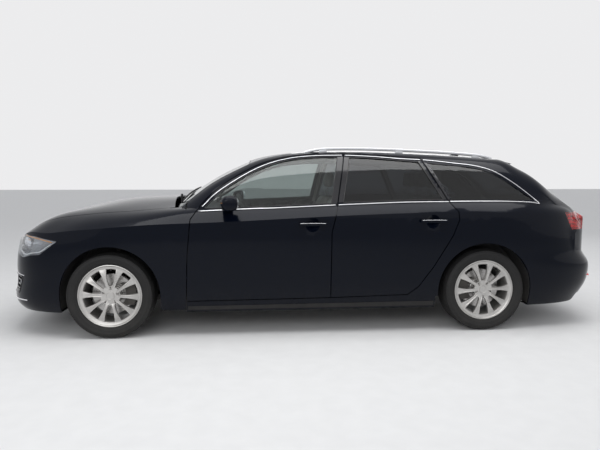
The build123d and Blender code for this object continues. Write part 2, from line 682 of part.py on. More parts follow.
def upright(hub_x):
    """A left knuckle: kingpin, upright, stub axle and brake caliper."""
    with BuildPart() as knuckle:
        with BuildSketch(Plane(origin=(hub_x, -KINGPIN_Y, ARM_LOW - ARM_THICK))):
            Circle(PIN_RADIUS)
        extrude(amount=ARM_HIGH - ARM_LOW + 2 * ARM_THICK)
        with BuildSketch(Plane(origin=(hub_x, -KINGPIN_Y, ARM_LOW + ARM_THICK / 2 + 1))):
            Rectangle(64, 46)
        extrude(amount=ARM_HIGH - ARM_LOW - ARM_THICK - 2)
        with BuildSketch(Plane(origin=(hub_x, -KINGPIN_Y, TYRE_RADIUS), x_dir=(1, 0, 0), z_dir=(0, -1, 0))):
            Circle(STUB_RADIUS)
        extrude(amount=DISC_Y + 34 - KINGPIN_Y)
    return fuse(knuckle.part, caliper(hub_x, KINGPIN_Y - 10, 1))


def caliper(hub_x, inner_y, side):
    """A brake caliper astride the disc, with the bracket that holds it."""
    clear = 6.0
    with BuildPart() as jaws:
        with BuildSketch(Plane(origin=(hub_x, -(DISC_Y - 42), TYRE_RADIUS), x_dir=(1, 0, 0), z_dir=(0, -1, 0))):
            Circle(DISC_RADIUS + 26)
            Circle(DISC_RADIUS - 52, mode=Mode.SUBTRACT)
            with Locations((side * 200, 0)):
                Rectangle(400, 170, mode=Mode.INTERSECT)
        extrude(amount=76)
        with BuildSketch(Plane(origin=(hub_x, -(DISC_Y - DISC / 2 - clear), TYRE_RADIUS),
                               x_dir=(1, 0, 0), z_dir=(0, -1, 0))):
            Circle(DISC_RADIUS + clear)
        extrude(amount=DISC + 2 * clear, mode=Mode.SUBTRACT)
        with BuildSketch(Plane(origin=(hub_x, -inner_y, TYRE_RADIUS), x_dir=(1, 0, 0), z_dir=(0, -1, 0))):
            with Locations((side * 75, 0)):
                Rectangle(150, 60)
        extrude(amount=DISC_Y - 34 - inner_y)
    return jaws.part


left_knuckle = upright(FRONT_HUB_X)
finish(left_knuckle, "knuckle_left")
finish(other_side(left_knuckle), "knuckle_right")

SUBFRAME_BOTTOM, SUBFRAME_TOP = 206.0, 258.0
SUBFRAME_Y = 440.0
TOWER_TOP = 470.0
STRUT_Y = 575.0


def arm(height, root_x, root_y):
    """A left A-arm: two legs that meet in an eye round the kingpin."""
    plane = Plane.XY.offset(height - ARM_THICK / 2)
    with BuildPart() as legs:
        with BuildSketch(plane):
            for dx in (-root_x, root_x):
                with BuildLine():
                    Polyline((FRONT_HUB_X + dx - 22, -root_y), (FRONT_HUB_X + dx + 22, -root_y),
                             (FRONT_HUB_X + 24, -KINGPIN_Y + 15), (FRONT_HUB_X - 24, -KINGPIN_Y + 15), close=True)
                make_face()
            with Locations((FRONT_HUB_X, -KINGPIN_Y)):
                Circle(ARM_EYE)
                Circle(PIN_RADIUS + RUNNING_FIT, mode=Mode.SUBTRACT)
        extrude(amount=ARM_THICK)
    return legs.part


lower_arm, upper_arm = arm(ARM_LOW, 130, SUBFRAME_Y - 20), arm(ARM_HIGH, 60, FRONT_LINER_Y - 20)
strut = common(bar([(FRONT_HUB_X, -STRUT_Y, ARM_LOW), (FRONT_HUB_X, -STRUT_Y, 800)], 26),
               wheel_space(FRONT_HUB_X, LINER_RADIUS, FRONT_LINER_Y))
tower = block(FRONT_HUB_X - 90, FRONT_HUB_X + 90, LINER - FRONT_LINER_Y, 76 - FRONT_LINER_Y,
              SUBFRAME_BOTTOM, TOWER_TOP)
with BuildPart() as front_axle:
    add(block(FRONT_HUB_X - 170, FRONT_HUB_X + 170, -SUBFRAME_Y, SUBFRAME_Y, SUBFRAME_BOTTOM, SUBFRAME_TOP))
    for piece in (lower_arm, upper_arm, strut, tower):
        add(piece)
        add(other_side(piece))
finish(front_axle.part, "front_axle")

# ---- rear axle ----
rear_stub = bar([(REAR_HUB_X, -560, TYRE_RADIUS), (REAR_HUB_X, -(DISC_Y + 34), TYRE_RADIUS)], STUB_RADIUS)
trailing_arm = bar([(REAR_HUB_X - 420, -560, 240), (REAR_HUB_X, -600, TYRE_RADIUS)], 26)
with BuildPart() as rear_axle:
    add(block(REAR_HUB_X - 60, REAR_HUB_X + 60, -600, 600, 268, 350))
    for piece in (rear_stub, trailing_arm, caliper(REAR_HUB_X, 590, -1)):
        add(piece)
        add(other_side(piece))
finish(rear_axle.part, "rear_axle")


# ---- floor, firewall and wheel housings ----
def housing_shell(hub_x, near):
    """Thin wheel housings on both sides, open towards the wheels and downwards."""
    return without(wheel_space(hub_x, LINER_RADIUS + LINER, near - LINER, 905),
                   wheel_space(hub_x, LINER_RADIUS, near, 905))


LOAD_FLOOR = 560.0
LOAD_FRONT_X, BACK_PANEL_X = 1160.0, 2205.0
TRAY_BOTTOM = 200.0
TRAY_HALF_WIDTH = FRONT_LINER_Y - LINER
with BuildPart() as floor:
    add(block(CABIN_FRONT, BACK_PANEL_X, -FLOOR_HALF_WIDTH, FLOOR_HALF_WIDTH, FLOOR_BOTTOM, FLOOR_TOP))
    add(block(FIREWALL_X, CABIN_FRONT, -940, 940, TRAY_BOTTOM, 945))
    add(block(BACK_PANEL_X, BACK_PANEL_X + 30, -560, 560, FLOOR_BOTTOM, LOAD_FLOOR + 30))
    add(block(LOAD_FRONT_X, LOAD_FRONT_X + 25, -640, 640, FLOOR_TOP, LOAD_FLOOR))
    add(block(LOAD_FRONT_X, BACK_PANEL_X, -640, 640, LOAD_FLOOR, LOAD_FLOOR + 22))
    add(block(-1930, FIREWALL_X, -TRAY_HALF_WIDTH, TRAY_HALF_WIDTH, TRAY_BOTTOM, TRAY_BOTTOM + 6))
    for side in (-1, 1):
        rail_middle = side * (TRAY_HALF_WIDTH - 35)
        add(block(-2200, FIREWALL_X, rail_middle - 35, rail_middle + 35, 470, 560))
    for room in housings:
        add(room, mode=Mode.SUBTRACT)
    for hub_x, near in liner_places:
        add(housing_shell(hub_x, near))
    add(skin_form, mode=Mode.INTERSECT)
    for side in (-1, 1):
        add(block(FRONT_HUB_X - 140, FRONT_HUB_X + 140, side * 500 - 60, side * 500 + 60, 0, 452),
            mode=Mode.SUBTRACT)
        add(block(REAR_HUB_X - 460, REAR_HUB_X + 75, side * 600 - 90, side * 600 + 90, 0, 362),
            mode=Mode.SUBTRACT)
    add(block(-2600, 2600, -1100, 1100, 0, TRAY_BOTTOM), mode=Mode.SUBTRACT)
finish(floor.part, "floor_pan")

with BuildPart() as cowl:
    add(block(-1115, FIREWALL_X, -715, 715, 945, 957))
    add(common(glass_inner, block(-1062, -1034, -700, 700, 957, 1120)))
    add(skin_form, mode=Mode.INTERSECT)
finish(cowl.part, "cowl_panel")

with BuildPart() as engine:
    add(block(-2090, -1250, -270, 270, SUBFRAME_TOP, 760))
    fillet(engine.edges().filter_by(Axis.Z), 40)
finish(engine.part, "engine_block")

with BuildPart() as pipe:
    add(bar([(-950, 90, 192), (1500, 90, 192), (1700, 170, 192), (1790, 230, 192)], 28))
    add(block(1780, 2110, 40, 420, 162, FLOOR_BOTTOM))
    add(bar([(2100, 330, 192), (2230, 330, 192), (2300, 330, 160)], 28))
finish(pipe.part, "exhaust")

# ---- grille, rails, wipers and mirrors ----
with BuildPart() as bars:
    add(without(grille_hole, end_prism(GRILLE, -2600, -2250, inset=18)))
    for level in range(320, 680, 44):
        add(block(-2600, -2250, -400, 400, level, level + 14))
    for offset_y in (-180, 0, 180):
        add(block(-2600, -2250, offset_y - 5, offset_y + 5, 292, 690))
    add(grille_hole, mode=Mode.INTERSECT)
    add(without(intake_hole(), intake_hole(inset=12)))
    for level in range(346, 450, 34):
        add(common(block(-2600, -2150, -760, 760, level, level + 12), intake_hole()))
    add(side_wrap(8), mode=Mode.INTERSECT)
    add(side_wrap(30), mode=Mode.SUBTRACT)
finish(bars.part, "grille")

RAIL_TOP = [(-75, 1446), (-20, 1455), (109, 1461), (314, 1461), (572, 1453), (921, 1438), (1200, 1427),
            (1386, 1417), (1500, 1407), (1562, 1397)]
with BuildPart() as rail:
    with BuildSketch(Plane.XZ.offset(542)):
        with BuildLine():
            crown = Spline(*RAIL_TOP)
            Polyline(crown @ 1, (1562, 1350), (-75, 1380), crown @ 0)
        make_face()
    extrude(amount=30)
    add(outer_form, mode=Mode.SUBTRACT)
both_sides(rail.part, "roof_rails")

wiper_band = without(cabin_form(-12), cabin_form(0))
wiper_strips = []
for pivot_y, tip_y in ((-560, 60), (70, 660)):
    with BuildPart() as strip:
        with BuildSketch(Plane.XY.offset(950)):
            with BuildLine():
                Polyline((-1056, pivot_y), (-1040, pivot_y), (-962, tip_y), (-978, tip_y), close=True)
            make_face()
        extrude(amount=300)
    wiper_strips.append(strip.part)
with BuildPart() as wipers:
    add(common(wiper_band, fuse(*wiper_strips)))
    for pivot_y in (-560, 70):
        with BuildSketch(Plane(origin=(-1052, pivot_y, 957))):
            Circle(9)
        extrude(amount=130)
    add(glass_outer, mode=Mode.SUBTRACT)
finish(wipers.part, "wipers")


def mirror_housing():
    """The left door mirror: a rounded shell on a short foot that stands on the door."""
    with BuildPart() as shell:
        for out, length, height, centre_x, centre_z in ((925, 60, 60, -655, 1012), (945, 108, 96, -650, 1022),
                                                        (990, 132, 116, -645, 1026), (1030, 112, 98, -640, 1026),
                                                        (1043, 70, 60, -636, 1026)):
            with BuildSketch(Plane.XZ.offset(out)):
                with Locations((centre_x, centre_z)):
                    RectangleRounded(length, height, 0.45 * height)
        loft()
    with BuildPart() as foot:
        with BuildSketch(Plane.XZ.offset(840)):
            with Locations((-668, 990)):
                RectangleRounded(80, 30, 12)
        extrude(amount=120)
    return without(fuse(shell.part, foot.part), left_form)


left_mirror = mirror_housing()
finish(left_mirror, "mirror_left")
finish(other_side(left_mirror), "mirror_right")

# ---- cabin ----
SEAT_Y = 370.0
FRONT_SEAT_X, BENCH_X = 0.0, 880.0
SEAT_SIDE = [(-400, 395), (-425, 480), (-380, 532), (30, 500), (75, 525), (185, 1020), (215, 1070), (275, 1075),
             (305, 1035), (250, 760), (215, 470), (190, 395)]
HEADREST_SIDE = [(232, 1120), (222, 1200), (248, 1280), (300, 1285), (322, 1230), (305, 1120)]


def seat(x, y, width, rests, base):
    """A cushion with its backrest, head rests on posts, and a plinth down to the floor."""
    with BuildPart() as chair:
        with BuildSketch(Plane.XZ.offset(-(y + width / 2))):
            with BuildLine():
                Polyline(*[(x + dx, z) for dx, z in SEAT_SIDE], close=True)
            make_face()
        extrude(amount=width)
        fillet(chair.edges().group_by(Axis.Y)[0] + chair.edges().group_by(Axis.Y)[-1], 22)
    posts = []
    for rest_y in rests:
        with BuildPart() as rest:
            with BuildSketch(Plane.XZ.offset(-(rest_y + 125))):
                with BuildLine():
                    Polyline(*[(x + dx, z) for dx, z in HEADREST_SIDE], close=True)
                make_face()
            extrude(amount=250)
            with BuildSketch(Plane.XY.offset(1050)):
                with Locations((x + 262, rest_y - 60), (x + 262, rest_y + 60)):
                    Circle(7)
            extrude(amount=90)
        posts.append(rest.part)
    return fuse(chair.part, *posts, block(x - 330, x + 130, y - base / 2, y + base / 2, FLOOR_TOP, 400))


both_sides(seat(FRONT_SEAT_X, -SEAT_Y, 500, (-SEAT_Y,), 380), "front_seats")
finish(seat(BENCH_X - 50, 0, 1260, (-SEAT_Y, 0, SEAT_Y), 1020), "rear_bench")

WHEEL_TILT = 28.0
STEERING_CENTRE = (-520.0, -370.0, 905.0)
COLUMN = Vector(math.cos(math.radians(WHEEL_TILT)), 0, math.sin(math.radians(WHEEL_TILT)))
with BuildPart() as dash:
    with BuildSketch(Plane.XZ.offset(-785)):
        with BuildLine():
            Polyline((CABIN_FRONT, 560), (CABIN_FRONT, 950), (-800, 975), (-690, 950), (-645, 890), (-645, 700),
                     (-700, 620), (-800, 560), close=True)
        make_face()
    extrude(amount=1570)
    for near, far in ((-800, -725), (725, 800)):
        add(block(CABIN_FRONT, -640, near, far, 925, 1000), mode=Mode.SUBTRACT)
    with BuildSketch(Plane.XZ.offset(-110)):
        with BuildLine():
            Polyline((-800, FLOOR_TOP), (-800, 700), (-650, 700), (-560, 560), (-450, 520), (160, 500),
                     (160, FLOOR_TOP), close=True)
        make_face()
    extrude(amount=220)
    with BuildSketch(Plane(origin=Vector(*STEERING_CENTRE) - COLUMN * 220, z_dir=COLUMN)):
        Circle(34)
    extrude(amount=190)
    with BuildSketch(Plane(origin=Vector(*STEERING_CENTRE) - COLUMN * 30, z_dir=COLUMN)):
        Circle(14 + RUNNING_FIT)
    extrude(amount=-60, mode=Mode.SUBTRACT)
finish(dash.part, "dashboard")

RING_RADIUS, RING_SECTION = 184.0, 15.0
ring_plane = Plane(origin=STEERING_CENTRE, x_dir=(0, 1, 0), z_dir=COLUMN)
with BuildPart() as steering_wheel:
    with BuildSketch(Plane(origin=ring_plane.origin, x_dir=ring_plane.x_dir, z_dir=ring_plane.y_dir)):
        with Locations((RING_RADIUS, 0)):
            Circle(RING_SECTION)
    revolve(axis=Axis(ring_plane.origin, COLUMN))
    with BuildSketch(ring_plane.offset(-22)):
        Circle(58)
    extrude(amount=34)
    with BuildSketch(ring_plane.offset(-14)):
        with PolarLocations(RING_RADIUS / 2, 2):
            Rectangle(RING_RADIUS, 44)
        with Locations((0, -RING_RADIUS / 2)):
            Rectangle(40, RING_RADIUS)
    extrude(amount=12)
    with BuildSketch(ring_plane.offset(-88)):
        Circle(14)
    extrude(amount=70)
finish(steering_wheel.part, "steering_wheel")
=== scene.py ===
"""The finish of a station wagon: paint, glass, trim, wheels, lamps and cabin, around its fixed frame."""

import json
import math

import bmesh
import bpy
from mathutils import Matrix, Vector
from mathutils.bvhtree import BVHTree
from mathutils.kdtree import KDTree


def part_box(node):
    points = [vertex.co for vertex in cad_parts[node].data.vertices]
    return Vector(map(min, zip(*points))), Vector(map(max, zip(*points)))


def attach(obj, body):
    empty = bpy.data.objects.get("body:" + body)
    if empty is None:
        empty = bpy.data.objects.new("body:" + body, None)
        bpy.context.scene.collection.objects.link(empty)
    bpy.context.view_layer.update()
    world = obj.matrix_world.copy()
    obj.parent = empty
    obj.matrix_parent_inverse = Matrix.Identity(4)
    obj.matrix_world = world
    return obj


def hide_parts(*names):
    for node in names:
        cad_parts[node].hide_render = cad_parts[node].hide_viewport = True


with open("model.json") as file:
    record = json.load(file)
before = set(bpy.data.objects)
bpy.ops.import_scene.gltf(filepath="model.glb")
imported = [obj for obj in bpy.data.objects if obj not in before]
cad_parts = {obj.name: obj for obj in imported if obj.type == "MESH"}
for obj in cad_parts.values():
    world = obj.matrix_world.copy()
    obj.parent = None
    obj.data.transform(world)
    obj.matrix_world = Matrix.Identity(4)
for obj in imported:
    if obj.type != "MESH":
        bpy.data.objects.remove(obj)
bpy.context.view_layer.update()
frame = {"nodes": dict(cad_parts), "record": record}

SIDES = {"left": -1, "right": 1}
ENDS = ("front", "rear")
DEFAULT_SHARP = math.radians(32)


# ---------------------------------------------------------------- shader building blocks
def place(tree, kind, inputs=None, **settings):
    """Adds a node. Its inputs are plain values, or outputs of other nodes."""
    made = tree.nodes.new(kind)
    for key, value in settings.items():
        setattr(made, key, value)
    for key, value in (inputs or {}).items():
        socket = made.inputs[key]
        if isinstance(value, bpy.types.NodeSocket):
            tree.links.new(value, socket)
        else:
            socket.default_value = value
    return made


def ramp(tree, factor, stops):
    """A colour ramp through (position, grey or colour) stops."""
    made = place(tree, "ShaderNodeValToRGB", {"Fac": factor})
    elements = made.color_ramp.elements
    while len(elements) < len(stops):
        elements.new(0.5)
    for element, (position, value) in zip(elements, stops):
        element.position = position
        element.color = (value, value, value, 1) if isinstance(value, (int, float)) else (*value, 1)
    return made.outputs["Color"]


def group(name, inputs, outputs, build):
    """A shader node group with named sockets, filled in by build(tree, inputs) -> output sockets."""
    tree = bpy.data.node_groups.new(name, "ShaderNodeTree")
    kinds = {float: "NodeSocketFloat", tuple: "NodeSocketColor"}
    for label, value in inputs.items():
        socket = tree.interface.new_socket(label, in_out="INPUT", socket_type=kinds[type(value)])
        socket.default_value = value
    for label, kind in outputs.items():
        tree.interface.new_socket(label, in_out="OUTPUT", socket_type=kind)
    entry, leave = tree.nodes.new("NodeGroupInput"), tree.nodes.new("NodeGroupOutput")
    for label, socket in build(tree, entry.outputs).items():
        tree.links.new(socket, leave.inputs[label])
    return tree


def object_point(tree, scale=(1.0, 1.0, 1.0)):
    """The point on the piece in metres, stretched by scale."""
    where = place(tree, "ShaderNodeTexCoord")
    return place(tree, "ShaderNodeMapping", {"Vector": where.outputs["Object"], "Scale": scale}).outputs[0]


def build_grain(tree, given):
    """Fine moulded or cast grain: height for a bump, and a mask of the same pattern."""
    point = object_point(tree)
    fine = place(tree, "ShaderNodeTexNoise", {"Vector": point, "Scale": given["Scale"], "Detail": 4.0})
    coarse = place(tree, "ShaderNodeTexNoise", {"Vector": point, "Scale": 9.0, "Detail": 2.0})
    return {"Height": fine.outputs["Fac"], "Mask": ramp(tree, coarse.outputs["Fac"], [(0.3, 0.0), (0.7, 1.0)])}


def build_leather(tree, given):
    """Leather grain: small cells with creases between them."""
    point = object_point(tree)
    cells = place(tree, "ShaderNodeTexVoronoi", {"Vector": point, "Scale": given["Scale"]},
                  feature="DISTANCE_TO_EDGE")
    wrinkles = place(tree, "ShaderNodeTexNoise", {"Vector": point, "Scale": 60.0, "Detail": 3.0})
    creased = place(tree, "ShaderNodeMath", {0: cells.outputs["Distance"], 1: wrinkles.outputs["Fac"]},
                    operation="MULTIPLY")
    return {"Height": creased.outputs[0],
            "Mask": ramp(tree, wrinkles.outputs["Fac"], [(0.35, 0.0), (0.65, 1.0)])}


def build_weave(tree, given):
    """Woven or looped cloth: two crossed waves."""
    point = object_point(tree)
    across = place(tree, "ShaderNodeTexWave", {"Vector": point, "Scale": given["Scale"], "Distortion": 0.6},
                   bands_direction="X")
    along = place(tree, "ShaderNodeTexWave", {"Vector": point, "Scale": given["Scale"], "Distortion": 0.6},
                  bands_direction="Y")
    rise = place(tree, "ShaderNodeTexWave", {"Vector": point, "Scale": given["Scale"], "Distortion": 0.6},
                 bands_direction="Z")
    both = place(tree, "ShaderNodeMath", {0: across.outputs["Fac"], 1: along.outputs["Fac"]},
                 operation="MAXIMUM")
    height = place(tree, "ShaderNodeMath", {0: both.outputs[0], 1: rise.outputs["Fac"]}, operation="MULTIPLY")
    return {"Height": height.outputs[0], "Mask": both.outputs[0]}


def build_road_film(tree, given):
    """Dust that gathers low on the car: a mask that fades out upwards, broken up by noise."""
    point = object_point(tree)
    parts = place(tree, "ShaderNodeSeparateXYZ", {"Vector": point})
    low = place(tree, "ShaderNodeMapRange", {"Value": parts.outputs["Z"], "From Min": given["Top"],
                                             "From Max": 0.05, "To Min": 0.0, "To Max": 1.0})
    blotches = place(tree, "ShaderNodeTexNoise", {"Vector": point, "Scale": 14.0, "Detail": 6.0})
    broken = place(tree, "ShaderNodeMath", {0: low.outputs[0], 1: blotches.outputs["Fac"]}, operation="MULTIPLY")
    amount = place(tree, "ShaderNodeMath", {0: broken.outputs[0], 1: given["Amount"]}, operation="MULTIPLY")
    return {"Mask": amount.outputs[0]}


def build_brushed(tree, given):
    """Fine lines along the car, as rolled or brushed metal has."""
    lines = place(tree, "ShaderNodeTexNoise", {"Vector": object_point(tree, (6.0, 400.0, 400.0)),
                                               "Scale": given["Scale"], "Detail": 3.0})
    return {"Height": lines.outputs["Fac"], "Mask": ramp(tree, lines.outputs["Fac"], [(0.35, 0.0), (0.65, 1.0)])}


FLOAT, COLOUR = "NodeSocketFloat", "NodeSocketColor"
PATTERN = {"Height": FLOAT, "Mask": FLOAT}
GRAIN = group("grain", {"Scale": 900.0}, PATTERN, build_grain)
LEATHER = group("leather_grain", {"Scale": 420.0}, PATTERN, build_leather)
WEAVE = group("weave", {"Scale": 260.0}, PATTERN, build_weave)
BRUSHED = group("brushed", {"Scale": 3.0}, PATTERN, build_brushed)
ROAD_FILM = group("road_film", {"Top": 0.7, "Amount": 0.5}, {"Mask": FLOAT}, build_road_film)
DUST = (0.17, 0.155, 0.135)


def use(tree, which, **values):
    """Places a node group with its own values."""
    made = tree.nodes.new("ShaderNodeGroup")
    made.node_tree = which
    for label, value in values.items():
        made.inputs[label].default_value = value
    return made.outputs


def surface(name, colour, rough, pattern=GRAIN, scale=900.0, bump=0.05, vary=0.25, rough_vary=0.08,
            dust=0.0, dust_top=0.7, depth=0.001, **principled):
    """A material of one finish: a base colour that varies a little, patterned bump, and road film if asked."""
    material = bpy.data.materials.new(name)
    material.use_nodes = True
    tree = material.node_tree
    shader = tree.nodes["Principled BSDF"]
    for label, value in principled.items():
        shader.inputs[label.replace("_", " ")].default_value = value
    texture = use(tree, pattern, Scale=scale)
    darker = tuple(c * (1 - vary) for c in colour)
    lighter = tuple(min(c * (1 + vary), 1.0) for c in colour)
    base = place(tree, "ShaderNodeMix", {"Factor": texture["Mask"], 6: (*darker, 1), 7: (*lighter, 1)},
                 data_type="RGBA").outputs[2]
    gloss = place(tree, "ShaderNodeMapRange", {"Value": texture["Mask"], "To Min": max(rough - rough_vary, 0.0),
                                               "To Max": min(rough + rough_vary, 1.0)}).outputs[0]
    if dust:
        film = use(tree, ROAD_FILM, Top=dust_top, Amount=dust)["Mask"]
        base = place(tree, "ShaderNodeMix", {"Factor": film, 6: base, 7: (*DUST, 1)}, data_type="RGBA").outputs[2]
        gloss = place(tree, "ShaderNodeMix", {"Factor": film, 2: gloss, 3: 0.8}, data_type="FLOAT").outputs[0]
    tree.links.new(base, shader.inputs["Base Color"])
    tree.links.new(gloss, shader.inputs["Roughness"])
    if bump:
        relief = place(tree, "ShaderNodeBump", {"Height": texture["Height"], "Strength": bump, "Distance": depth})
        tree.links.new(relief.outputs[0], shader.inputs["Normal"])
    return material


def paint():
    """Near black blue paint under clear lacquer, with fine metal flakes and a faint ripple in the lacquer."""
    material = bpy.data.materials.new("dark_blue_metallic_paint")
    material.use_nodes = True
    tree = material.node_tree
    shader = tree.nodes["Principled BSDF"]
    for label, value in {"Metallic": 0.1, "Specular IOR Level": 0.10, "Coat Weight": 0.2,
                         "Coat Roughness": 0.02, "Coat IOR": 1.4}.items():
        shader.inputs[label].default_value = value
    point = object_point(tree)
    flakes = place(tree, "ShaderNodeTexVoronoi", {"Vector": point, "Scale": 1400.0})
    sparkle = ramp(tree, flakes.outputs["Color"], [(0.0, (0.0008, 0.0014, 0.004)), (0.8, (0.0014, 0.003, 0.008)),
                                                   (1.0, (0.010, 0.015, 0.030))])
    film = use(tree, ROAD_FILM, Top=0.42, Amount=0.08)["Mask"]
    base = place(tree, "ShaderNodeMix", {"Factor": film, 6: sparkle, 7: (*DUST, 1)}, data_type="RGBA")
    gloss = place(tree, "ShaderNodeMix", {"Factor": film, 2: 0.16, 3: 0.6}, data_type="FLOAT")
    ripple = place(tree, "ShaderNodeTexNoise", {"Vector": point, "Scale": 120.0, "Detail": 1.0})
    relief = place(tree, "ShaderNodeBump", {"Height": ripple.outputs["Fac"], "Strength": 0.01,
                                            "Distance": 0.001})
    tree.links.new(base.outputs[2], shader.inputs["Base Color"])
    tree.links.new(gloss.outputs[0], shader.inputs["Roughness"])
    tree.links.new(relief.outputs[0], shader.inputs["Normal"])
    return material


def glazing(name, tint, rough=0.0, dust=0.06, specks=30.0, clear_shadow=0.85, **principled):
    """Glass or clear plastic that lets lamp light through, with a trace of dust in blotches over it."""
    material = bpy.data.materials.new(name)
    material.use_nodes = True
    tree = material.node_tree
    shader = tree.nodes["Principled BSDF"]
    shader.inputs["Transmission Weight"].default_value = 1.0
    shader.inputs["IOR"].default_value = 1.45
    for label, value in principled.items():
        shader.inputs[label.replace("_", " ")].default_value = value
    smudges = place(tree, "ShaderNodeTexNoise", {"Vector": object_point(tree), "Scale": specks, "Detail": 5.0})
    film = ramp(tree, smudges.outputs["Fac"], [(0.45, 0.0), (0.8, dust)])
    tone = place(tree, "ShaderNodeMix", {"Factor": film, 6: (*tint, 1), 7: (*DUST, 1)}, data_type="RGBA")
    gloss = place(tree, "ShaderNodeMath", {0: film, 1: rough}, operation="ADD")
    rays = place(tree, "ShaderNodeLightPath")
    cover = place(tree, "ShaderNodeMath", {0: rays.outputs["Is Shadow Ray"], 1: -clear_shadow, 2: 1.0},
                  operation="MULTIPLY_ADD")
    tree.links.new(tone.outputs[2], shader.inputs["Base Color"])
    tree.links.new(gloss.outputs[0], shader.inputs["Roughness"])
    tree.links.new(cover.outputs[0], shader.inputs["Alpha"])
    return material


def glowing(name, colour, rough=0.25):
    """A lamp's bright inner face, unlit: pale and glossy with fine ribs."""
    return surface(name, colour, rough, BRUSHED, 2.0, bump=0.2, vary=0.1)


PAINT = paint()
FINISH = {
    "paint": PAINT,
    "gloss_black": surface("gloss_black_trim", (0.012, 0.012, 0.014), 0.09, scale=300.0, bump=0.01,
                           rough_vary=0.03, dust=0.15, dust_top=0.5),
    "black_plastic": surface("grained_black_plastic", (0.012, 0.012, 0.013), 0.6, bump=0.35, dust=0.15,
                             Specular_IOR_Level=0.25),
    "underbody": surface("underbody_coating", (0.03, 0.03, 0.031), 0.8, scale=160.0, bump=0.5, dust=0.6,
                         dust_top=0.6, depth=0.003),
    "rubber_seal": surface("rubber_seal", (0.014, 0.014, 0.015), 0.6, scale=1500.0, bump=0.15),
    "tyre": surface("tyre_rubber", (0.010, 0.010, 0.0105), 0.68, scale=700.0, bump=0.25, dust=0.12, dust_top=0.66,
                    Specular_IOR_Level=0.3),
    "chrome": surface("polished_trim", (0.78, 0.78, 0.80), 0.12, BRUSHED, 2.0, bump=0.02, vary=0.03,
                      rough_vary=0.04, Metallic=1.0),
    "satin_rail": surface("satin_aluminium", (0.62, 0.63, 0.65), 0.33, BRUSHED, 3.0, bump=0.06, vary=0.06,
                          Metallic=1.0),
    "alloy": surface("painted_alloy", (0.50, 0.49, 0.475), 0.32, scale=1800.0, bump=0.03, vary=0.08,
                     dust=0.25, dust_top=0.6, Metallic=0.75),
    "machined": surface("turned_disc", (0.42, 0.41, 0.40), 0.32, BRUSHED, 3.0, bump=0.15, vary=0.15,
                        Metallic=1.0),
    "cast": surface("cast_iron", (0.10, 0.095, 0.09), 0.7, scale=240.0, bump=0.5, dust=0.5, dust_top=0.6,
                    depth=0.002, Metallic=0.5),
    "steel": surface("stainless_pipe", (0.42, 0.41, 0.40), 0.38, BRUSHED, 3.0, bump=0.1, vary=0.2,
                     dust=0.5, Metallic=1.0),
    "leather": surface("grey_leather", (0.40, 0.385, 0.36), 0.52, LEATHER, 420.0, bump=0.35, vary=0.06),
    "dark_leather": surface("black_leather", (0.025, 0.025, 0.027), 0.5, LEATHER, 420.0, bump=0.35, vary=0.2),
    "cabin": surface("soft_cabin_plastic", (0.035, 0.035, 0.038), 0.7, LEATHER, 700.0, bump=0.3, vary=0.15),
    "carpet": surface("black_carpet", (0.03, 0.03, 0.032), 0.95, WEAVE, 300.0, bump=0.6, vary=0.5, depth=0.003),
    "lining": surface("pale_roof_lining", (0.50, 0.485, 0.46), 0.92, WEAVE, 420.0, bump=0.25, vary=0.08),
    "reflector": surface("lamp_reflector", (0.40, 0.41, 0.43), 0.22, BRUSHED, 2.0, bump=0.05, vary=0.05,
                         Metallic=0.9),
    "lamp_black": surface("lamp_bezel", (0.03, 0.03, 0.032), 0.35, scale=1200.0, bump=0.1),
    "lamp_white": glowing("light_strip", (0.70, 0.71, 0.73)),
    "lamp_amber": glowing("indicator_strip", (0.75, 0.30, 0.05)),
    "lamp_inner_red": glowing("red_light_strip", (0.85, 0.02, 0.03)),
    "lamp_housing_red": glowing("red_lamp_housing", (0.42, 0.006, 0.010)),
    "plate": surface("blank_plate", (0.72, 0.72, 0.70), 0.35, scale=500.0, bump=0.04, vary=0.03, dust=0.1),
    "glass": glazing("clear_glass", (0.46, 0.51, 0.50), dust=0.03),
    "privacy_glass": glazing("dark_glass", (0.10, 0.11, 0.12), dust=0.02, clear_shadow=0.5),
    "lamp_glass": glazing("clear_lens", (0.80, 0.82, 0.84), dust=0.02),
    "red_glass": glazing("red_lens", (0.75, 0.008, 0.012), rough=0.03, dust=0.01, clear_shadow=0.7,
                         Specular_IOR_Level=0.12),
    "mirror": surface("mirror_glass", (0.80, 0.82, 0.84), 0.03, scale=300.0, bump=0.0, vary=0.02,
                      rough_vary=0.01, Metallic=1.0),
}


# ---------------------------------------------------------------- mesh building blocks
def shown(name, mesh):
    """Puts a mesh into the scene as a piece."""
    piece = bpy.data.objects.new(name, mesh)
    bpy.context.scene.collection.objects.link(piece)
    return piece


def mesh_from(work, name, sharp=DEFAULT_SHARP):
    """A mesh from a bmesh, smooth apart from its edges sharper than an angle."""
    mesh = bpy.data.meshes.new(name)
    bmesh.ops.recalc_face_normals(work, faces=work.faces)
    work.to_mesh(mesh)
    work.free()
    mesh.shade_smooth()
    mesh.set_sharp_from_angle(angle=sharp)
    return mesh


def finish_piece(piece, body, slot, *finishes, replaces=()):
    """Gives a piece its finishes and the body that it rides on. The slot is not used."""
    slots = piece.data.materials
    for index, finish in enumerate(finishes):
        if index < len(slots):
            slots[index] = FINISH[finish]
        else:
            slots.append(FINISH[finish])
    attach(piece, body)
    if replaces:
        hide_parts(*replaces)
    return piece


def add_piece(name, mesh, body, slot, *finishes, replaces=()):
    return finish_piece(shown(name, mesh), body, slot, *finishes, replaces=replaces)


def moved(mesh, matrix):
    """Moves a mesh's points, and turns its faces outward again if the move mirrors it."""
    mesh.transform(matrix)
    if matrix.determinant() < 0:
        mesh.flip_normals()
    return mesh


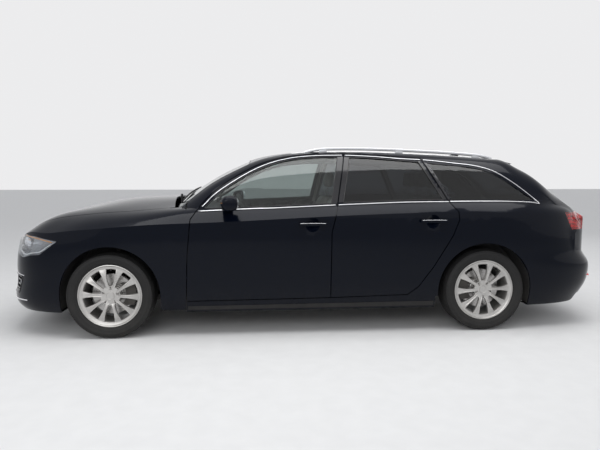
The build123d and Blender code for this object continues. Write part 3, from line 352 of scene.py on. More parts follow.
def joined(name, meshes, sharp=DEFAULT_SHARP):
    """Several meshes as one. Each keeps its faces' material numbers."""
    work = bmesh.new()
    for mesh in meshes:
        work.from_mesh(mesh)
        bpy.data.meshes.remove(mesh)
    mesh = bpy.data.meshes.new(name)
    work.to_mesh(mesh)
    work.free()
    mesh.shade_smooth()
    mesh.set_sharp_from_angle(angle=sharp)
    return mesh


def numbered(mesh, index):
    """Gives all of a mesh's faces one material number."""
    mesh.polygons.foreach_set("material_index", [index] * len(mesh.polygons))
    return mesh


MIRROR_Y = Matrix.Scale(-1, 4, (0, 1, 0))


def on_side_of(mesh, side):
    """A mesh made for the left side, or its mirror image for the right."""
    return mesh if side == "left" else moved(mesh, MIRROR_Y)


def smooth_path(points, step=0.012, closed=False):
    """Evenly spaced points on a smooth curve through the given ones."""
    points = [Vector(p) for p in points]
    count = len(points)
    spans = count if closed else count - 1
    fine = []
    for i in range(spans):
        if closed:
            a, b, c, d = (points[(i + k - 1) % count] for k in range(4))
        else:
            b, c = points[i], points[i + 1]
            a = points[i - 1] if i else 2 * b - c
            d = points[i + 2] if i + 2 < count else 2 * c - b
        for k in range(24):
            t = k / 24
            fine.append(0.5 * (2 * b + (c - a) * t + (2 * a - 5 * b + 4 * c - d) * t**2
                               + (3 * b - a - 3 * c + d) * t**3))
    fine.append(points[0] if closed else points[-1])
    lengths = [0.0]
    for first, second in zip(fine, fine[1:]):
        lengths.append(lengths[-1] + (second - first).length)
    steps = max(int(lengths[-1] / step), 2)
    path, at = [], 0
    for k in range(steps + (0 if closed else 1)):
        want = lengths[-1] * k / steps
        while at < len(fine) - 2 and lengths[at + 1] < want:
            at += 1
        share = (want - lengths[at]) / max(lengths[at + 1] - lengths[at], 1e-9)
        path.append(fine[at].lerp(fine[at + 1], min(max(share, 0.0), 1.0)))
    return path


def spun(profile, steps=96):
    """A closed ring about the Y axis, from the closed (radius, y) outline of its section."""
    work = bmesh.new()
    rings = []
    for k in range(steps):
        angle = 2 * math.pi * k / steps
        rings.append([work.verts.new((r * math.cos(angle), y, r * math.sin(angle))) for r, y in profile])
    for first, second in zip(rings, rings[1:] + rings[:1]):
        for i in range(len(profile)):
            j = (i + 1) % len(profile)
            work.faces.new((first[i], first[j], second[j], second[i]))
    return work


def domed(profile, steps=48):
    """A round solid about the Y axis. Its (radius, y) outline starts and ends on the axis."""
    work = bmesh.new()
    start, end = (work.verts.new((0, y, 0)) for y in (profile[0][1], profile[-1][1]))
    rings = []
    for k in range(steps):
        angle = 2 * math.pi * k / steps
        rings.append([work.verts.new((r * math.cos(angle), y, r * math.sin(angle))) for r, y in profile[1:-1]])
    for first, second in zip(rings, rings[1:] + rings[:1]):
        work.faces.new((start, first[0], second[0]))
        work.faces.new((end, second[-1], first[-1]))
        for i in range(len(first) - 1):
            work.faces.new((first[i], first[i + 1], second[i + 1], second[i]))
    return work


def lofted(rings, cap=True):
    """A skin over rings of points that all have the same count."""
    work = bmesh.new()
    made = [[work.verts.new(p) for p in ring] for ring in rings]
    for first, second in zip(made, made[1:]):
        for i in range(len(first)):
            j = (i + 1) % len(first)
            work.faces.new((first[i], first[j], second[j], second[i]))
    if cap:
        work.faces.new(made[0])
        work.faces.new(made[-1])
    return work


def plate(outline, holes, thickness, axis=(0, 1, 0)):
    """A flat sheet with holes, from loops of points that lie in one plane, thickened along an axis."""
    work = bmesh.new()
    edges = []
    for loop in (outline, *holes):
        corners = [work.verts.new(p) for p in loop]
        edges += [work.edges.new(pair) for pair in zip(corners, corners[1:] + corners[:1])]
    filled = bmesh.ops.triangle_fill(work, edges=edges, use_beauty=True)
    faces = [part for part in filled["geom"] if isinstance(part, bmesh.types.BMFace)]
    raised = bmesh.ops.extrude_face_region(work, geom=faces, use_keep_orig=True)
    bmesh.ops.translate(work, vec=Vector(axis) * thickness,
                        verts=[part for part in raised["geom"] if isinstance(part, bmesh.types.BMVert)])
    return work


def box_mesh(name, low, high, bevel=0.003, segments=3):
    """A box between two corners, with rounded edges."""
    work = bmesh.new()
    bmesh.ops.create_cube(work, size=1.0)
    low, high = Vector(low), Vector(high)
    for vert in work.verts:
        vert.co = Vector(((low[i] + high[i]) / 2 + vert.co[i] * (high[i] - low[i]) for i in range(3)))
    bmesh.ops.bevel(work, geom=work.edges, offset=bevel, segments=segments, profile=0.6, affect="EDGES")
    return mesh_from(work, name, math.radians(50))


# ---------------------------------------------------------------- node trees that repeat pieces or follow paths
SOCKET_KINDS = {float: "NodeSocketFloat", int: "NodeSocketInt", tuple: "NodeSocketVector",
                bpy.types.Material: "NodeSocketMaterial"}


def growth(name, inputs, build):
    """A geometry node tree with named inputs, filled in by build(tree, inputs) -> geometry socket."""
    tree = bpy.data.node_groups.new(name, "GeometryNodeTree")
    tree.is_modifier = True
    geometry = "NodeSocketGeometry"
    tree.interface.new_socket("Geometry", in_out="INPUT", socket_type=geometry)
    for label, value in inputs.items():
        kind = SOCKET_KINDS[value if isinstance(value, type) else type(value)]
        socket = tree.interface.new_socket(label, in_out="INPUT", socket_type=kind)
        if not isinstance(value, type):
            socket.default_value = value
    tree.interface.new_socket("Geometry", in_out="OUTPUT", socket_type=geometry)
    entry, leave = tree.nodes.new("NodeGroupInput"), tree.nodes.new("NodeGroupOutput")
    solid = place(tree, "GeometryNodeRealizeInstances", {"Geometry": build(tree, entry.outputs)})
    coated = place(tree, "GeometryNodeSetMaterial", {"Geometry": solid.outputs[0],
                                                     "Material": entry.outputs["Material"]})
    tree.links.new(coated.outputs[0], leave.inputs[0])
    return tree


def build_repeat(tree, given):
    """Count copies, each shifted and turned about the origin by one more step than the last."""
    index = place(tree, "GeometryNodeInputIndex").outputs[0]
    shift = place(tree, "ShaderNodeVectorMath", {0: given["Shift"], "Scale": index}, operation="SCALE")
    turn = place(tree, "ShaderNodeVectorMath", {0: given["Turn"], "Scale": index}, operation="SCALE")
    points = place(tree, "GeometryNodePoints", {"Count": given["Count"], "Position": shift.outputs[0]})
    angles = place(tree, "FunctionNodeEulerToRotation", {0: turn.outputs[0]})
    return place(tree, "GeometryNodeInstanceOnPoints", {"Points": points.outputs[0], "Instance": given["Geometry"],
                                                        "Rotation": angles.outputs[0]}).outputs[0]


def build_moulding(tree, given):
    """A strip with a rounded section along a line, standing up along the line's own "up" directions."""
    line = place(tree, "GeometryNodeMeshToCurve", {"Mesh": given["Geometry"]})
    up = place(tree, "GeometryNodeInputNamedAttribute", {"Name": "up"}, data_type="FLOAT_VECTOR")
    stood = place(tree, "GeometryNodeSetCurveNormal", {"Curve": line.outputs[0], "Normal": up.outputs[0]},
                  mode="FREE")
    section = place(tree, "GeometryNodeCurvePrimitiveQuadrilateral", {"Width": given["Width"],
                                                                      "Height": given["Height"]})
    rounded = place(tree, "GeometryNodeFilletCurve", {"Curve": section.outputs[0], "Radius": given["Rounding"],
                                                      "Count": 3, "Limit Radius": True}, mode="POLY")
    swept = place(tree, "GeometryNodeCurveToMesh", {"Curve": stood.outputs[0], "Profile Curve": rounded.outputs[0],
                                                    "Fill Caps": True})
    return swept.outputs[0]


REPEAT = growth("repeat", {"Count": 2, "Shift": (0.0, 0.0, 0.0), "Turn": (0.0, 0.0, 0.0),
                           "Material": bpy.types.Material}, build_repeat)
MOULDING = growth("moulding", {"Width": 0.01, "Height": 0.004, "Rounding": 0.001,
                               "Material": bpy.types.Material}, build_moulding)


def grown(mesh, tree, finish, **values):
    """The mesh that a node tree makes from another, with the finish set in the tree."""
    seed = shown("seed", mesh)
    modifier = seed.modifiers.new("grow", "NODES")
    modifier.node_group = tree
    values["Material"] = FINISH[finish]
    for item in tree.interface.items_tree:
        if item.in_out == "INPUT" and item.name in values:
            modifier[item.identifier] = values[item.name]
    depsgraph = bpy.context.evaluated_depsgraph_get()
    made = bpy.data.meshes.new_from_object(seed.evaluated_get(depsgraph))
    bpy.data.objects.remove(seed)
    bpy.data.meshes.remove(mesh)
    return numbered(made, 0)


def repeated(mesh, finish, count, shift=(0.0, 0.0, 0.0), turn=(0.0, 0.0, 0.0)):
    return grown(mesh, REPEAT, finish, Count=count, Shift=shift, Turn=turn)


def moulding(points, ups, width, height, finish, rounding=None, closed=False, lift=0.0, sharp=40):
    """A strip along a path. Width runs across the path, and height stands along the ups."""
    mesh = bpy.data.meshes.new("line")
    where = [Vector(p) + Vector(up) * lift for p, up in zip(points, ups)]
    pairs = [(i, i + 1) for i in range(len(where) - 1)] + ([(len(where) - 1, 0)] if closed else [])
    mesh.from_pydata([tuple(p) for p in where], pairs, [])
    mesh.attributes.new("up", "FLOAT_VECTOR", "POINT").data.foreach_set("vector", [c for up in ups for c in up])
    made = grown(mesh, MOULDING, finish, Width=width, Height=height,
                 Rounding=min(width, height) * 0.35 if rounding is None else rounding)
    made.shade_smooth()
    made.set_sharp_from_angle(angle=math.radians(sharp))
    return made


# ---------------------------------------------------------------- painted panels
RECORD = frame["record"]
BODY_OF = {node: body for body, nodes in RECORD["behaviour"]["bodies"].items() for node in nodes}
SLOT_OF = {part["node"]: part["material_slot"] for part in RECORD["subparts"]}
PANELS = ["side_frames", "roof_panel", "fenders", "front_bumper", "rear_bumper", "hood", "tailgate",
          "door_front_left", "door_front_right", "door_rear_left", "door_rear_right"]
PANES = ["windscreen", "quarter_glass", "tailgate_glass", "door_glass_front_left", "door_glass_front_right",
         "door_glass_rear_left", "door_glass_rear_right"]
LAMPS = ["headlamps", "tail_lamps", "tailgate_lamps"]
LONGEST_EDGE = 0.08
NORMAL_REACH = 0.045
NORMAL_SPREAD = 0.024
NORMAL_ANGLE = math.cos(math.radians(26))


def merged_copy(node):
    """A CAD node's mesh as a bmesh whose triangles are joined up."""
    work = bmesh.new()
    work.from_mesh(frame["nodes"][node].data)
    bmesh.ops.remove_doubles(work, verts=work.verts, dist=2e-5)
    bmesh.ops.recalc_face_normals(work, faces=work.faces)
    return work


def surface_samples(works):
    """Points spread over many surfaces, with their normals, in a tree that finds near ones."""
    points, normals = [], []
    for work in works:
        for face in work.faces:
            corners = [vert.co for vert in face.verts]
            a, b, c = corners[0], corners[1], corners[-1]
            area = face.calc_area()
            rows = max(1, min(40, int(math.sqrt(area / 0.0007))))
            share = area / (rows * (rows + 1) / 2)
            for i in range(rows):
                for j in range(rows - i):
                    u, v = (i + 1 / 3) / rows, (j + 1 / 3) / rows
                    points.append(a + (b - a) * u + (c - a) * v)
                    normals.append((face.normal.copy(), share))
    tree = KDTree(len(points))
    for i, point in enumerate(points):
        tree.insert(point, i)
    tree.balance()
    return tree, normals


def even_normals(mesh, tree, normals):
    """Turns each corner's normal to the average around it, so that reflections run on without kinks."""
    known = {}
    corner_normals = []
    for polygon in mesh.polygons:
        facing = polygon.normal
        for vertex in polygon.vertices:
            key = (vertex, round(facing.x * 6), round(facing.y * 6), round(facing.z * 6))
            if key not in known:
                here = mesh.vertices[vertex].co
                total = facing * 1e-6
                for _, index, distance in tree.find_range(here, NORMAL_REACH):
                    normal, share = normals[index]
                    if normal.dot(facing) > NORMAL_ANGLE:
                        total = total + normal * (share * math.exp(-(distance / NORMAL_SPREAD)**2))
                known[key] = total.normalized()
            corner_normals.append(known[key])
    mesh.normals_split_custom_set(corner_normals)


def panel(node, work, tree, normals, inside=None, lining="cabin"):
    """A body panel with smooth paint outside, and trim on the faces that look into the cabin."""
    if inside:
        for face in work.faces:
            face.material_index = 1 if inside(face.normal, face.calc_center_median()) else 0
    mesh = mesh_from(work, f"{node}_finished")
    even_normals(mesh, tree, normals)
    add_piece(f"{node}_finished", mesh, BODY_OF[node], SLOT_OF[node], "paint", lining, replaces=[node])


def door_inside(normal, centre):
    return normal.y * centre.y < 0 and abs(normal.y) > 0.5 and abs(centre.y) < 0.85


def frame_inside(normal, centre):
    return normal.y * centre.y < 0 and abs(normal.y) > 0.4 and abs(centre.y) < 0.85


def painted_panels():
    """Every painted panel, smoothed together so that reflections run across the shut lines."""
    works = {node: merged_copy(node) for node in PANELS}
    tree, normals = surface_samples(works.values())
    for work in works.values():
        for _ in range(2):
            long_edges = [edge for edge in work.edges if edge.calc_length() > LONGEST_EDGE]
            bmesh.ops.subdivide_edges(work, edges=long_edges, cuts=1)
            bmesh.ops.triangulate(work, faces=[face for face in work.faces if len(face.verts) > 3])
    inner = {"side_frames": (frame_inside, "lining"), "roof_panel": (lambda n, c: n.z < -0.4, "lining"),
             "tailgate": (lambda n, c: n.x < -0.4, "cabin")}
    for node, work in works.items():
        if node.startswith("door"):
            panel(node, work, tree, normals, door_inside)
        else:
            panel(node, work, tree, normals, *inner.get(node, ()))
    for side in SIDES:
        node = f"mirror_{side}"
        mesh = mesh_from(merged_copy(node), f"{node}_finished")
        add_piece(f"{node}_finished", mesh, BODY_OF[node], "paint", "paint", replaces=[node])


def tree_of(nodes):
    """A ray search tree over several CAD nodes."""
    points, faces = [], []
    for node in nodes:
        mesh = frame["nodes"][node].data
        start = len(points)
        points += [vert.co.copy() for vert in mesh.vertices]
        faces += [[start + i for i in polygon.vertices] for polygon in mesh.polygons]
    return BVHTree.FromPolygons(points, faces)


OUTSIDE = tree_of([*PANELS, *PANES, *LAMPS])


def hit(origin, direction):
    """Where a ray meets the outside of the car, and the outward normal there."""
    point, normal, _, _ = OUTSIDE.ray_cast(Vector(origin), Vector(direction))
    return point, (normal if normal.dot(Vector(direction)) < 0 else -normal)


def on_left(x, z):
    """The point and normal on the car's left side at x and z."""
    return hit((x, -1.3, z), (0, 1, 0))


def on_top(x, y):
    return hit((x, y, 2.0), (0, 0, -1))


def on_nose(y, z):
    return hit((-3.0, y, z), (1, 0, 0))


def on_tail(y, z):
    return hit((3.0, y, z), (-1, 0, 0))


def steadied(hits):
    """Surface points and normals along a path, each evened out with its neighbours."""
    points, normals = [point for point, _ in hits], [normal for _, normal in hits]
    for _ in range(3):
        points = [points[0], *[(a + 2 * b + c) / 4 for a, b, c in zip(points, points[1:], points[2:])], points[-1]]
        normals = [normals[0], *[(a + 2 * b + c).normalized() for a, b, c in zip(normals, normals[1:], normals[2:])],
                   normals[-1]]
    return points, normals


def plain(node, finish):
    """A CAD node that keeps its own shape, with its finish."""
    piece = frame["nodes"][node]
    piece.data.materials.clear()
    piece.data.materials.append(FINISH[finish])


def pane(node, finish):
    """A pane with smooth faces."""
    mesh = mesh_from(merged_copy(node), f"{node}_finished")
    add_piece(f"{node}_finished", mesh, BODY_OF[node], SLOT_OF[node], finish, replaces=[node])


def glass_and_plain_nodes():
    """Window panes, and the CAD nodes whose own shape is right."""
    for node in PANES:
        pane(node, "glass" if node == "windscreen" or "front" in node else "privacy_glass")
    for node, finish in {"floor_pan": "underbody", "cowl_panel": "black_plastic", "engine_block": "cast",
                         "exhaust": "steel", "front_axle": "cast", "rear_axle": "cast",
                         "knuckle_left": "cast", "knuckle_right": "cast", "rear_bench": "leather",
                         "front_seats": "leather", "dashboard": "cabin", "steering_wheel": "dark_leather",
                         "grille": "gloss_black", "headlamps": "lamp_glass", "tail_lamps": "red_glass",
                         "tailgate_lamps": "red_glass", "roof_rails": "satin_rail", "wipers": "black_plastic"}.items():
        plain(node, finish)


painted_panels()
glass_and_plain_nodes()


# ---------------------------------------------------------------- trim on the sides
B_LINE = [(0.262, 1.413), (0.179, 1.003), (0.128, 0.797)]
BELT = [(-0.905, 0.958), (-0.564, 0.973), (-0.212, 0.986), (0.144, 1.002), (0.674, 1.022), (1.106, 1.026),
        (1.480, 1.026), (1.700, 1.020), (1.770, 1.014), (1.806, 1.008)]
ARC = [(-0.862, 0.995), (-0.749, 1.102), (-0.567, 1.222), (-0.385, 1.314), (-0.203, 1.366), (-0.019, 1.389),
       (0.165, 1.395), (0.327, 1.394), (0.540, 1.383), (0.712, 1.369), (0.935, 1.357), (1.159, 1.333),
       (1.329, 1.312), (1.477, 1.268), (1.618, 1.180), (1.736, 1.086), (1.785, 1.040), (1.806, 1.014)]
REAR_DOOR_BACK = [(0.884, 1.376), (1.058, 1.040), (1.125, 0.950)]
SIDE_BODIES = ("front_door", "rear_door", "body")


def line_x(line, z):
    """The x of a slanting line of (x, z) points at a height."""
    points = sorted(line, key=lambda p: p[1])
    for (x0, z0), (x1, z1) in zip(points, points[1:]):
        if z <= z1 or (x1, z1) == points[-1]:
            return x0 + (x1 - x0) * (z - z0) / (z1 - z0)
    return points[0][0]


def owner(x, z, gap=0.0035):
    """Which of the left bodies the side belongs to at a point, or nothing in the shut lines."""
    front, rear = line_x(B_LINE, z), line_x(REAR_DOOR_BACK, z)
    for body, low, high in zip(SIDE_BODIES, (-9, front, rear), (front, rear, 9)):
        if low + gap < x < high - gap:
            return body
    return None


def body_named(body, side):
    return body if body == "body" else f"{body}_{side}"


def side_strip(name, path, width, height, finish, lift, slot="rail", step=0.012):
    """A strip along a line on both sides, cut at the shut lines of the doors."""
    runs = {}
    for point in smooth_path([(x, 0, z) for x, z in path], step):
        body = owner(point.x, point.z, 0.005)
        if body:
            runs.setdefault(body, []).append(on_left(point.x, point.z))
    for body, hits in runs.items():
        for side in SIDES:
            points, normals = steadied(hits)
            mesh = on_side_of(moulding(points, normals, width, height, finish, lift=lift), side)
            add_piece(f"{name}_{body}_{side}", mesh, body_named(body, side), slot, finish)


def thickened(sheet, thickness, offset, name="sheet"):
    """A closed wall from an open sheet."""
    mesh = bpy.data.meshes.new(name)
    sheet.to_mesh(mesh)
    sheet.free()
    seed = shown("seed", mesh)
    solid = seed.modifiers.new("thick", "SOLIDIFY")
    solid.thickness, solid.offset = thickness, offset
    made = bpy.data.meshes.new_from_object(seed.evaluated_get(bpy.context.evaluated_depsgraph_get()))
    bpy.data.objects.remove(seed)
    made.shade_smooth()
    made.set_sharp_from_angle(angle=DEFAULT_SHARP)
    return made


def draped(outline, cast, thickness, lift=0.0, step=0.018, name="cover"):
    """A thin cover on the car's surface, from a flat outline whose points are cast onto it."""
    work = bmesh.new()
    work.faces.new([work.verts.new((u, 0, v)) for u, v in outline])
    for axis, k in (((1, 0, 0), 0), ((0, 0, 1), 1)):
        low, high = min(p[k] for p in outline), max(p[k] for p in outline)
        for n in range(1, int((high - low) / step) + 1):
            bmesh.ops.bisect_plane(work, geom=[*work.verts, *work.edges, *work.faces], plane_no=axis,
                                   plane_co=Vector(axis) * (low + n * step))
    bmesh.ops.triangulate(work, faces=work.faces)
    ups = Vector()
    for vert in work.verts:
        point, normal = cast(vert.co.x, vert.co.z)
        vert.co = point + normal * lift
        ups += normal
    bmesh.ops.recalc_face_normals(work, faces=work.faces)
    if sum(face.normal.dot(ups) for face in work.faces) < 0:
        bmesh.ops.reverse_faces(work, faces=work.faces)
    return thickened(work, thickness, 1.0, name)


def patch(name, outline, thickness, finish, body, lift=0.0, slot="trim"):
    """A cover on the car's left side inside an (x, z) outline, and its right twin."""
    mesh = draped(outline, on_left, thickness, lift)
    for side in SIDES:
        add_piece(f"{name}_{side}", on_side_of(mesh.copy(), side), body_named(body, side), slot, finish)


def pillars():
    """Gloss black covers on the door frames between the windows."""
    def along(z):
        return line_x(B_LINE, z)
    low, high = 1.012, 1.384
    patch("pillar_cover_front", [(along(low) - 0.0055, low), (along(high) - 0.0055, high),
                                 (along(high) - 0.050, high - 0.002), (along(low) - 0.050, low - 0.002)],
          0.0022, "gloss_black", "front_door")
    patch("pillar_cover_rear", [(along(low + 0.01) + 0.0055, low + 0.012), (along(high) + 0.0055, high - 0.003),
                                (along(high) + 0.046, high - 0.006), (along(low) + 0.046, low + 0.014)],
          0.0022, "gloss_black", "rear_door")
    back = [(line_x(REAR_DOOR_BACK, z), z) for z in (1.044, 1.34, 1.352)]
    patch("pillar_cover_back", [(back[0][0] - 0.0055, 1.044), (back[1][0] - 0.0055, 1.350),
                                (back[1][0] - 0.042, 1.352), (back[0][0] - 0.042, 1.044)],
          0.0022, "gloss_black", "rear_door")
    patch("pillar_cover_quarter", [(back[0][0] + 0.0055, 1.044), (back[1][0] + 0.0055, 1.338),
                                   (back[1][0] + 0.034, 1.336), (back[0][0] + 0.034, 1.044)],
          0.0022, "gloss_black", "body")


def boundary_loop(node, facing):
    """The longest edge loop round a node's faces that look one way, as points with normals."""
    work = merged_copy(node)
    away = [face for face in work.faces if face.normal.dot(Vector(facing)) < 0.3]
    bmesh.ops.delete(work, geom=away, context="FACES")
    ring, loops = {}, []
    for edge in work.edges:
        if edge.is_boundary:
            for vert in edge.verts:
                ring.setdefault(vert, []).append(edge)
    seen = set()
    for start in ring:
        if start in seen:
            continue
        loop, vert, last = [], start, None
        while vert not in seen:
            seen.add(vert)
            loop.append(vert)
            step = next((e for e in ring[vert] if e is not last and e.other_vert(vert) not in seen), None)
            if step is None:
                break
            vert, last = step.other_vert(vert), step
        loops.append(loop)
    longest = max(loops, key=lambda l: sum((a.co - b.co).length for a, b in zip(l, l[1:])))
    hits = []
    for vert in longest:
        normal = sum((face.normal for face in vert.link_faces), Vector())
        hits.append((vert.co.copy(), normal.normalized()))
    work.free()
    return hits


def respaced(hits, step):
    """A closed loop of points and normals at an even spacing."""
    points = [point for point, _ in hits]
    normals = [normal for _, normal in hits]
    lengths = [0.0]
    for a, b in zip(points, points[1:] + points[:1]):
        lengths.append(lengths[-1] + (b - a).length)
    count = int(lengths[-1] / step)
    spaced, at = [], 0
    for k in range(count):
        want = lengths[-1] * k / count
        while lengths[at + 1] < want:
            at += 1
        share = (want - lengths[at]) / max(lengths[at + 1] - lengths[at], 1e-9)
        following = (at + 1) % len(points)
        spaced.append((points[at].lerp(points[following], share), normals[at].lerp(normals[following], share)))
    return spaced


def glass_seals():
    """Rubber lips round the panes."""
    views = {"windscreen": (-0.6, 0, 0.8), "tailgate_glass": (0.8, 0, 0.6)}
    for node in PANES:
        if node == "quarter_glass":
            continue
        facing = views.get(node, (0, -1 if node.endswith("left") else 1, 0.2))
        hits = respaced(boundary_loop(node, facing), 0.012)
        mesh = moulding([p for p, _ in hits], [n for _, n in hits], 0.012, 0.006, "rubber_seal", closed=True,
                        lift=0.002)
        add_piece(f"{node}_seal", mesh, BODY_OF[node], "trim", "rubber_seal")


side_strip("belt_trim", BELT, 0.015, 0.007, "chrome", 0.0015)
side_strip("window_arc_trim", ARC, 0.011, 0.006, "chrome", 0.001)
pillars()
glass_seals()


# ---------------------------------------------------------------- lamps
DIAGONAL = math.sqrt(0.5)
CORNER = {"front": Vector((-DIAGONAL, -DIAGONAL, 0)), "rear": Vector((DIAGONAL, -DIAGONAL, 0))}


def outer_skin(node, end):
    """The part of the left lamp's solid that shows from outside."""
    work = merged_copy(node)
    hidden = []
    for face in work.faces:
        centre = face.calc_center_median()
        blocked = OUTSIDE.ray_cast(centre + face.normal * 0.002, face.normal, 0.25)[0] is not None
        if centre.y > 0 or blocked or face.normal.dot(CORNER[end]) < 0.12:
            hidden.append(face)
    bmesh.ops.delete(work, geom=hidden, context="FACES")
    return work


def tray_behind(skin, push):
    """An open housing: its floor is the skin pushed back, and its walls reach up to the skin's edge."""
    tray = bmesh.new()
    back = {vert: tray.verts.new(vert.co + push) for vert in skin.verts}
    rim = {}
    for face in skin.faces:
        tray.faces.new([back[vert] for vert in face.verts])
    for edge in skin.edges:
        if edge.is_boundary:
            for vert in edge.verts:
                if vert not in rim:
                    rim[vert] = tray.verts.new(vert.co + push * 0.06)
            a, b = edge.verts
            tray.faces.new((rim[a], rim[b], back[b], back[a]))
    bmesh.ops.recalc_face_normals(tray, faces=tray.faces)
    return tray


def lamp(node, end, depth, lens, housing):
    """A lens with air behind it, in an open housing, on both sides of the car."""
    skin = outer_skin(node, end)
    tray = tray_behind(skin, -CORNER[end] * depth)
    cover = thickened(skin, 0.0025, -1.0)
    shell = thickened(tray, 0.002, 0.0)
    for side in SIDES:
        add_piece(f"{node}_lens_{side}", on_side_of(cover.copy(), side), BODY_OF[node], SLOT_OF[node], lens,
                  replaces=[node])
        add_piece(f"{node}_housing_{side}", on_side_of(shell.copy(), side), BODY_OF[node], SLOT_OF[node], housing)


def on_corner(end, u, z, inward=0.0):
    """The point and normal on the left corner of the car, u along the diagonal across it, and z up."""
    out = CORNER[end]
    along = Vector((out.x, -out.y, 0))
    point, normal = hit(along * u + out * 3.2 + Vector((0, 0, z)), -out)
    return point - out * inward, normal


def corner_strip(name, node, end, path, inward, width, height, finish):
    """A lit strip inside a lamp, behind its lens, along (u, z) points."""
    hits = [on_corner(end, p.x, p.z, inward) for p in smooth_path([(u, 0, z) for u, z in path], 0.008)]
    points, normals = steadied(hits)
    mesh = moulding(points, normals, width, height, finish)
    for side in SIDES:
        add_piece(f"{name}_{side}", on_side_of(mesh.copy(), side), BODY_OF[node], SLOT_OF[node], finish)


def projector(name, node, at, radius):
    """A round headlamp unit that looks forward: a ringed bezel with a glass dome in it."""
    ring = mesh_from(spun([(radius, 0.0), (radius * 1.18, 0.004), (radius * 1.22, 0.030), (radius * 1.05, 0.034),
                           (radius * 0.98, 0.020), (radius * 0.93, 0.006)], 48), "bezel")
    dome = mesh_from(domed([(0, 0.004), (radius * 0.30, 0.0055), (radius * 0.55, 0.0095), (radius * 0.75, 0.0145),
                            (radius * 0.90, 0.022), (radius * 0.90, 0.028), (0, 0.028)]), "dome")
    cup = mesh_from(domed([(0, 0.030), (radius * 0.96, 0.030), (radius * 1.0, 0.050), (0, 0.052)]), "cup")
    turn = Matrix.Translation(at) @ Matrix.Rotation(math.radians(-90), 4, "Z")
    parts = [numbered(moved(ring, turn), 0), numbered(moved(dome, turn), 1), numbered(moved(cup, turn), 2)]
    mesh = joined(name, parts)
    for side in SIDES:
        add_piece(f"{name}_{side}", on_side_of(mesh.copy(), side), BODY_OF[node], SLOT_OF[node],
                  "chrome", "lamp_glass", "lamp_black")


def headlamp_insides():
    """Two round units, a lit strip along the foot and one along the top, and a ribbed indicator."""
    projector("main_beam", "headlamps", (-2.300, -0.530, 0.703), 0.033)
    projector("dipped_beam", "headlamps", (-2.238, -0.632, 0.703), 0.033)
    corner_strip("day_strip_foot", "headlamps", "front", [(0.80, 0.712), (0.88, 0.660), (0.96, 0.646), (1.05, 0.628),
                                                          (1.14, 0.642), (1.25, 0.655), (1.36, 0.666)],
                 0.020, 0.012, 0.010, "lamp_white")
    corner_strip("side_strip", "headlamps", "front", [(0.79, 0.732), (0.86, 0.747), (0.95, 0.760), (1.06, 0.768),
                                                      (1.14, 0.769)], 0.022, 0.009, 0.008, "lamp_amber")
    post = box_mesh("rib", (-0.0012, -0.0012, -0.026), (0.0012, 0.0012, 0.026), 0.0004, 1)
    start, _ = on_corner("front", 0.885, 0.704, 0.032)
    end, _ = on_corner("front", 0.985, 0.704, 0.032)
    post.transform(Matrix.Translation(start))
    mesh = repeated(post, "reflector", 14, shift=tuple((end - start) / 13))
    for side in SIDES:
        add_piece(f"headlamp_ribs_{side}", on_side_of(mesh.copy(), side), "body", "lamp_clear", "reflector")


def tail_lamp_insides():
    """Bright red bands that run round the corner."""
    for i, (low, high) in enumerate(((0.820, 0.812), (0.852, 0.846), (0.884, 0.880), (0.914, 0.912))):
        corner_strip(f"tail_band_{i}", "tail_lamps", "rear", [(0.905, low), (0.96, low), (1.02, high), (1.075, high)],
                     0.016, 0.010, 0.008, "lamp_inner_red")


lamp("headlamps", "front", 0.075, "lamp_glass", "reflector")
lamp("tail_lamps", "rear", 0.045, "red_glass", "lamp_housing_red")
lamp("tailgate_lamps", "rear", 0.035, "red_glass", "lamp_housing_red")
headlamp_insides()
tail_lamp_insides()


# ---------------------------------------------------------------- grille, intakes and plates
GRILLE_RIM = [(-0.330, 0.690), (0.330, 0.690), (0.405, 0.560), (0.300, 0.292), (-0.300, 0.292), (-0.405, 0.560)]
INTAKE_RIM = [(-0.480, 0.470), (-0.730, 0.452), (-0.690, 0.330), (-0.450, 0.318)]


def inset_loop(corners, inset):
    """A polygon's corners moved in along their bisectors."""
    points = [Vector(c) for c in corners]
    count = len(points)
    area = sum(points[i].x * points[(i + 1) % count].y - points[(i + 1) % count].x * points[i].y
               for i in range(count))
    moved_in = []
    for i, point in enumerate(points):
        before = (point - points[i - 1]).normalized()
        after = (points[(i + 1) % count] - point).normalized()
        inward = Vector((-(before + after).y, (before + after).x)) * (1 if area > 0 else -1)
        inward.normalize()
        side = Vector((-before.y, before.x)) * (1 if area > 0 else -1)
        moved_in.append(point + inward * (inset / max(inward.dot(side), 0.3)))
    return moved_in


def rounded_loop(corners, radius, steps=6):
    """A polygon with its corners rounded off."""
    points = [Vector(c) for c in corners]
    loop = []
    for i, point in enumerate(points):
        before = (points[i - 1] - point)
        after = (points[(i + 1) % len(points)] - point)
        start = point + before.normalized() * min(radius, before.length * 0.45)
        stop = point + after.normalized() * min(radius, after.length * 0.45)
        for k in range(steps + 1):
            t = k / steps
            loop.append(start * (1 - t)**2 + point * (2 * t * (1 - t)) + stop * t**2)
    return loop


def nose_frame(name, corners, radius, width, height, finish, lift, slot="trim", grow=0.007):
    """A closed moulding round an opening in the nose, on the bumper just outside its edge."""
    loop = rounded_loop(inset_loop(corners, -grow), radius)
    path = smooth_path([(0, p.x, p.y) for p in loop], 0.010, closed=True)
    hits = [on_nose(p.y, p.z) for p in path]
    front = [point for point, _ in hits]
    ups = [Vector((-1, 0, 0)) for _ in hits]
    mesh = moulding(front, ups, width, height, finish, closed=True, lift=lift)
    add_piece(name, mesh, "body", slot, finish)


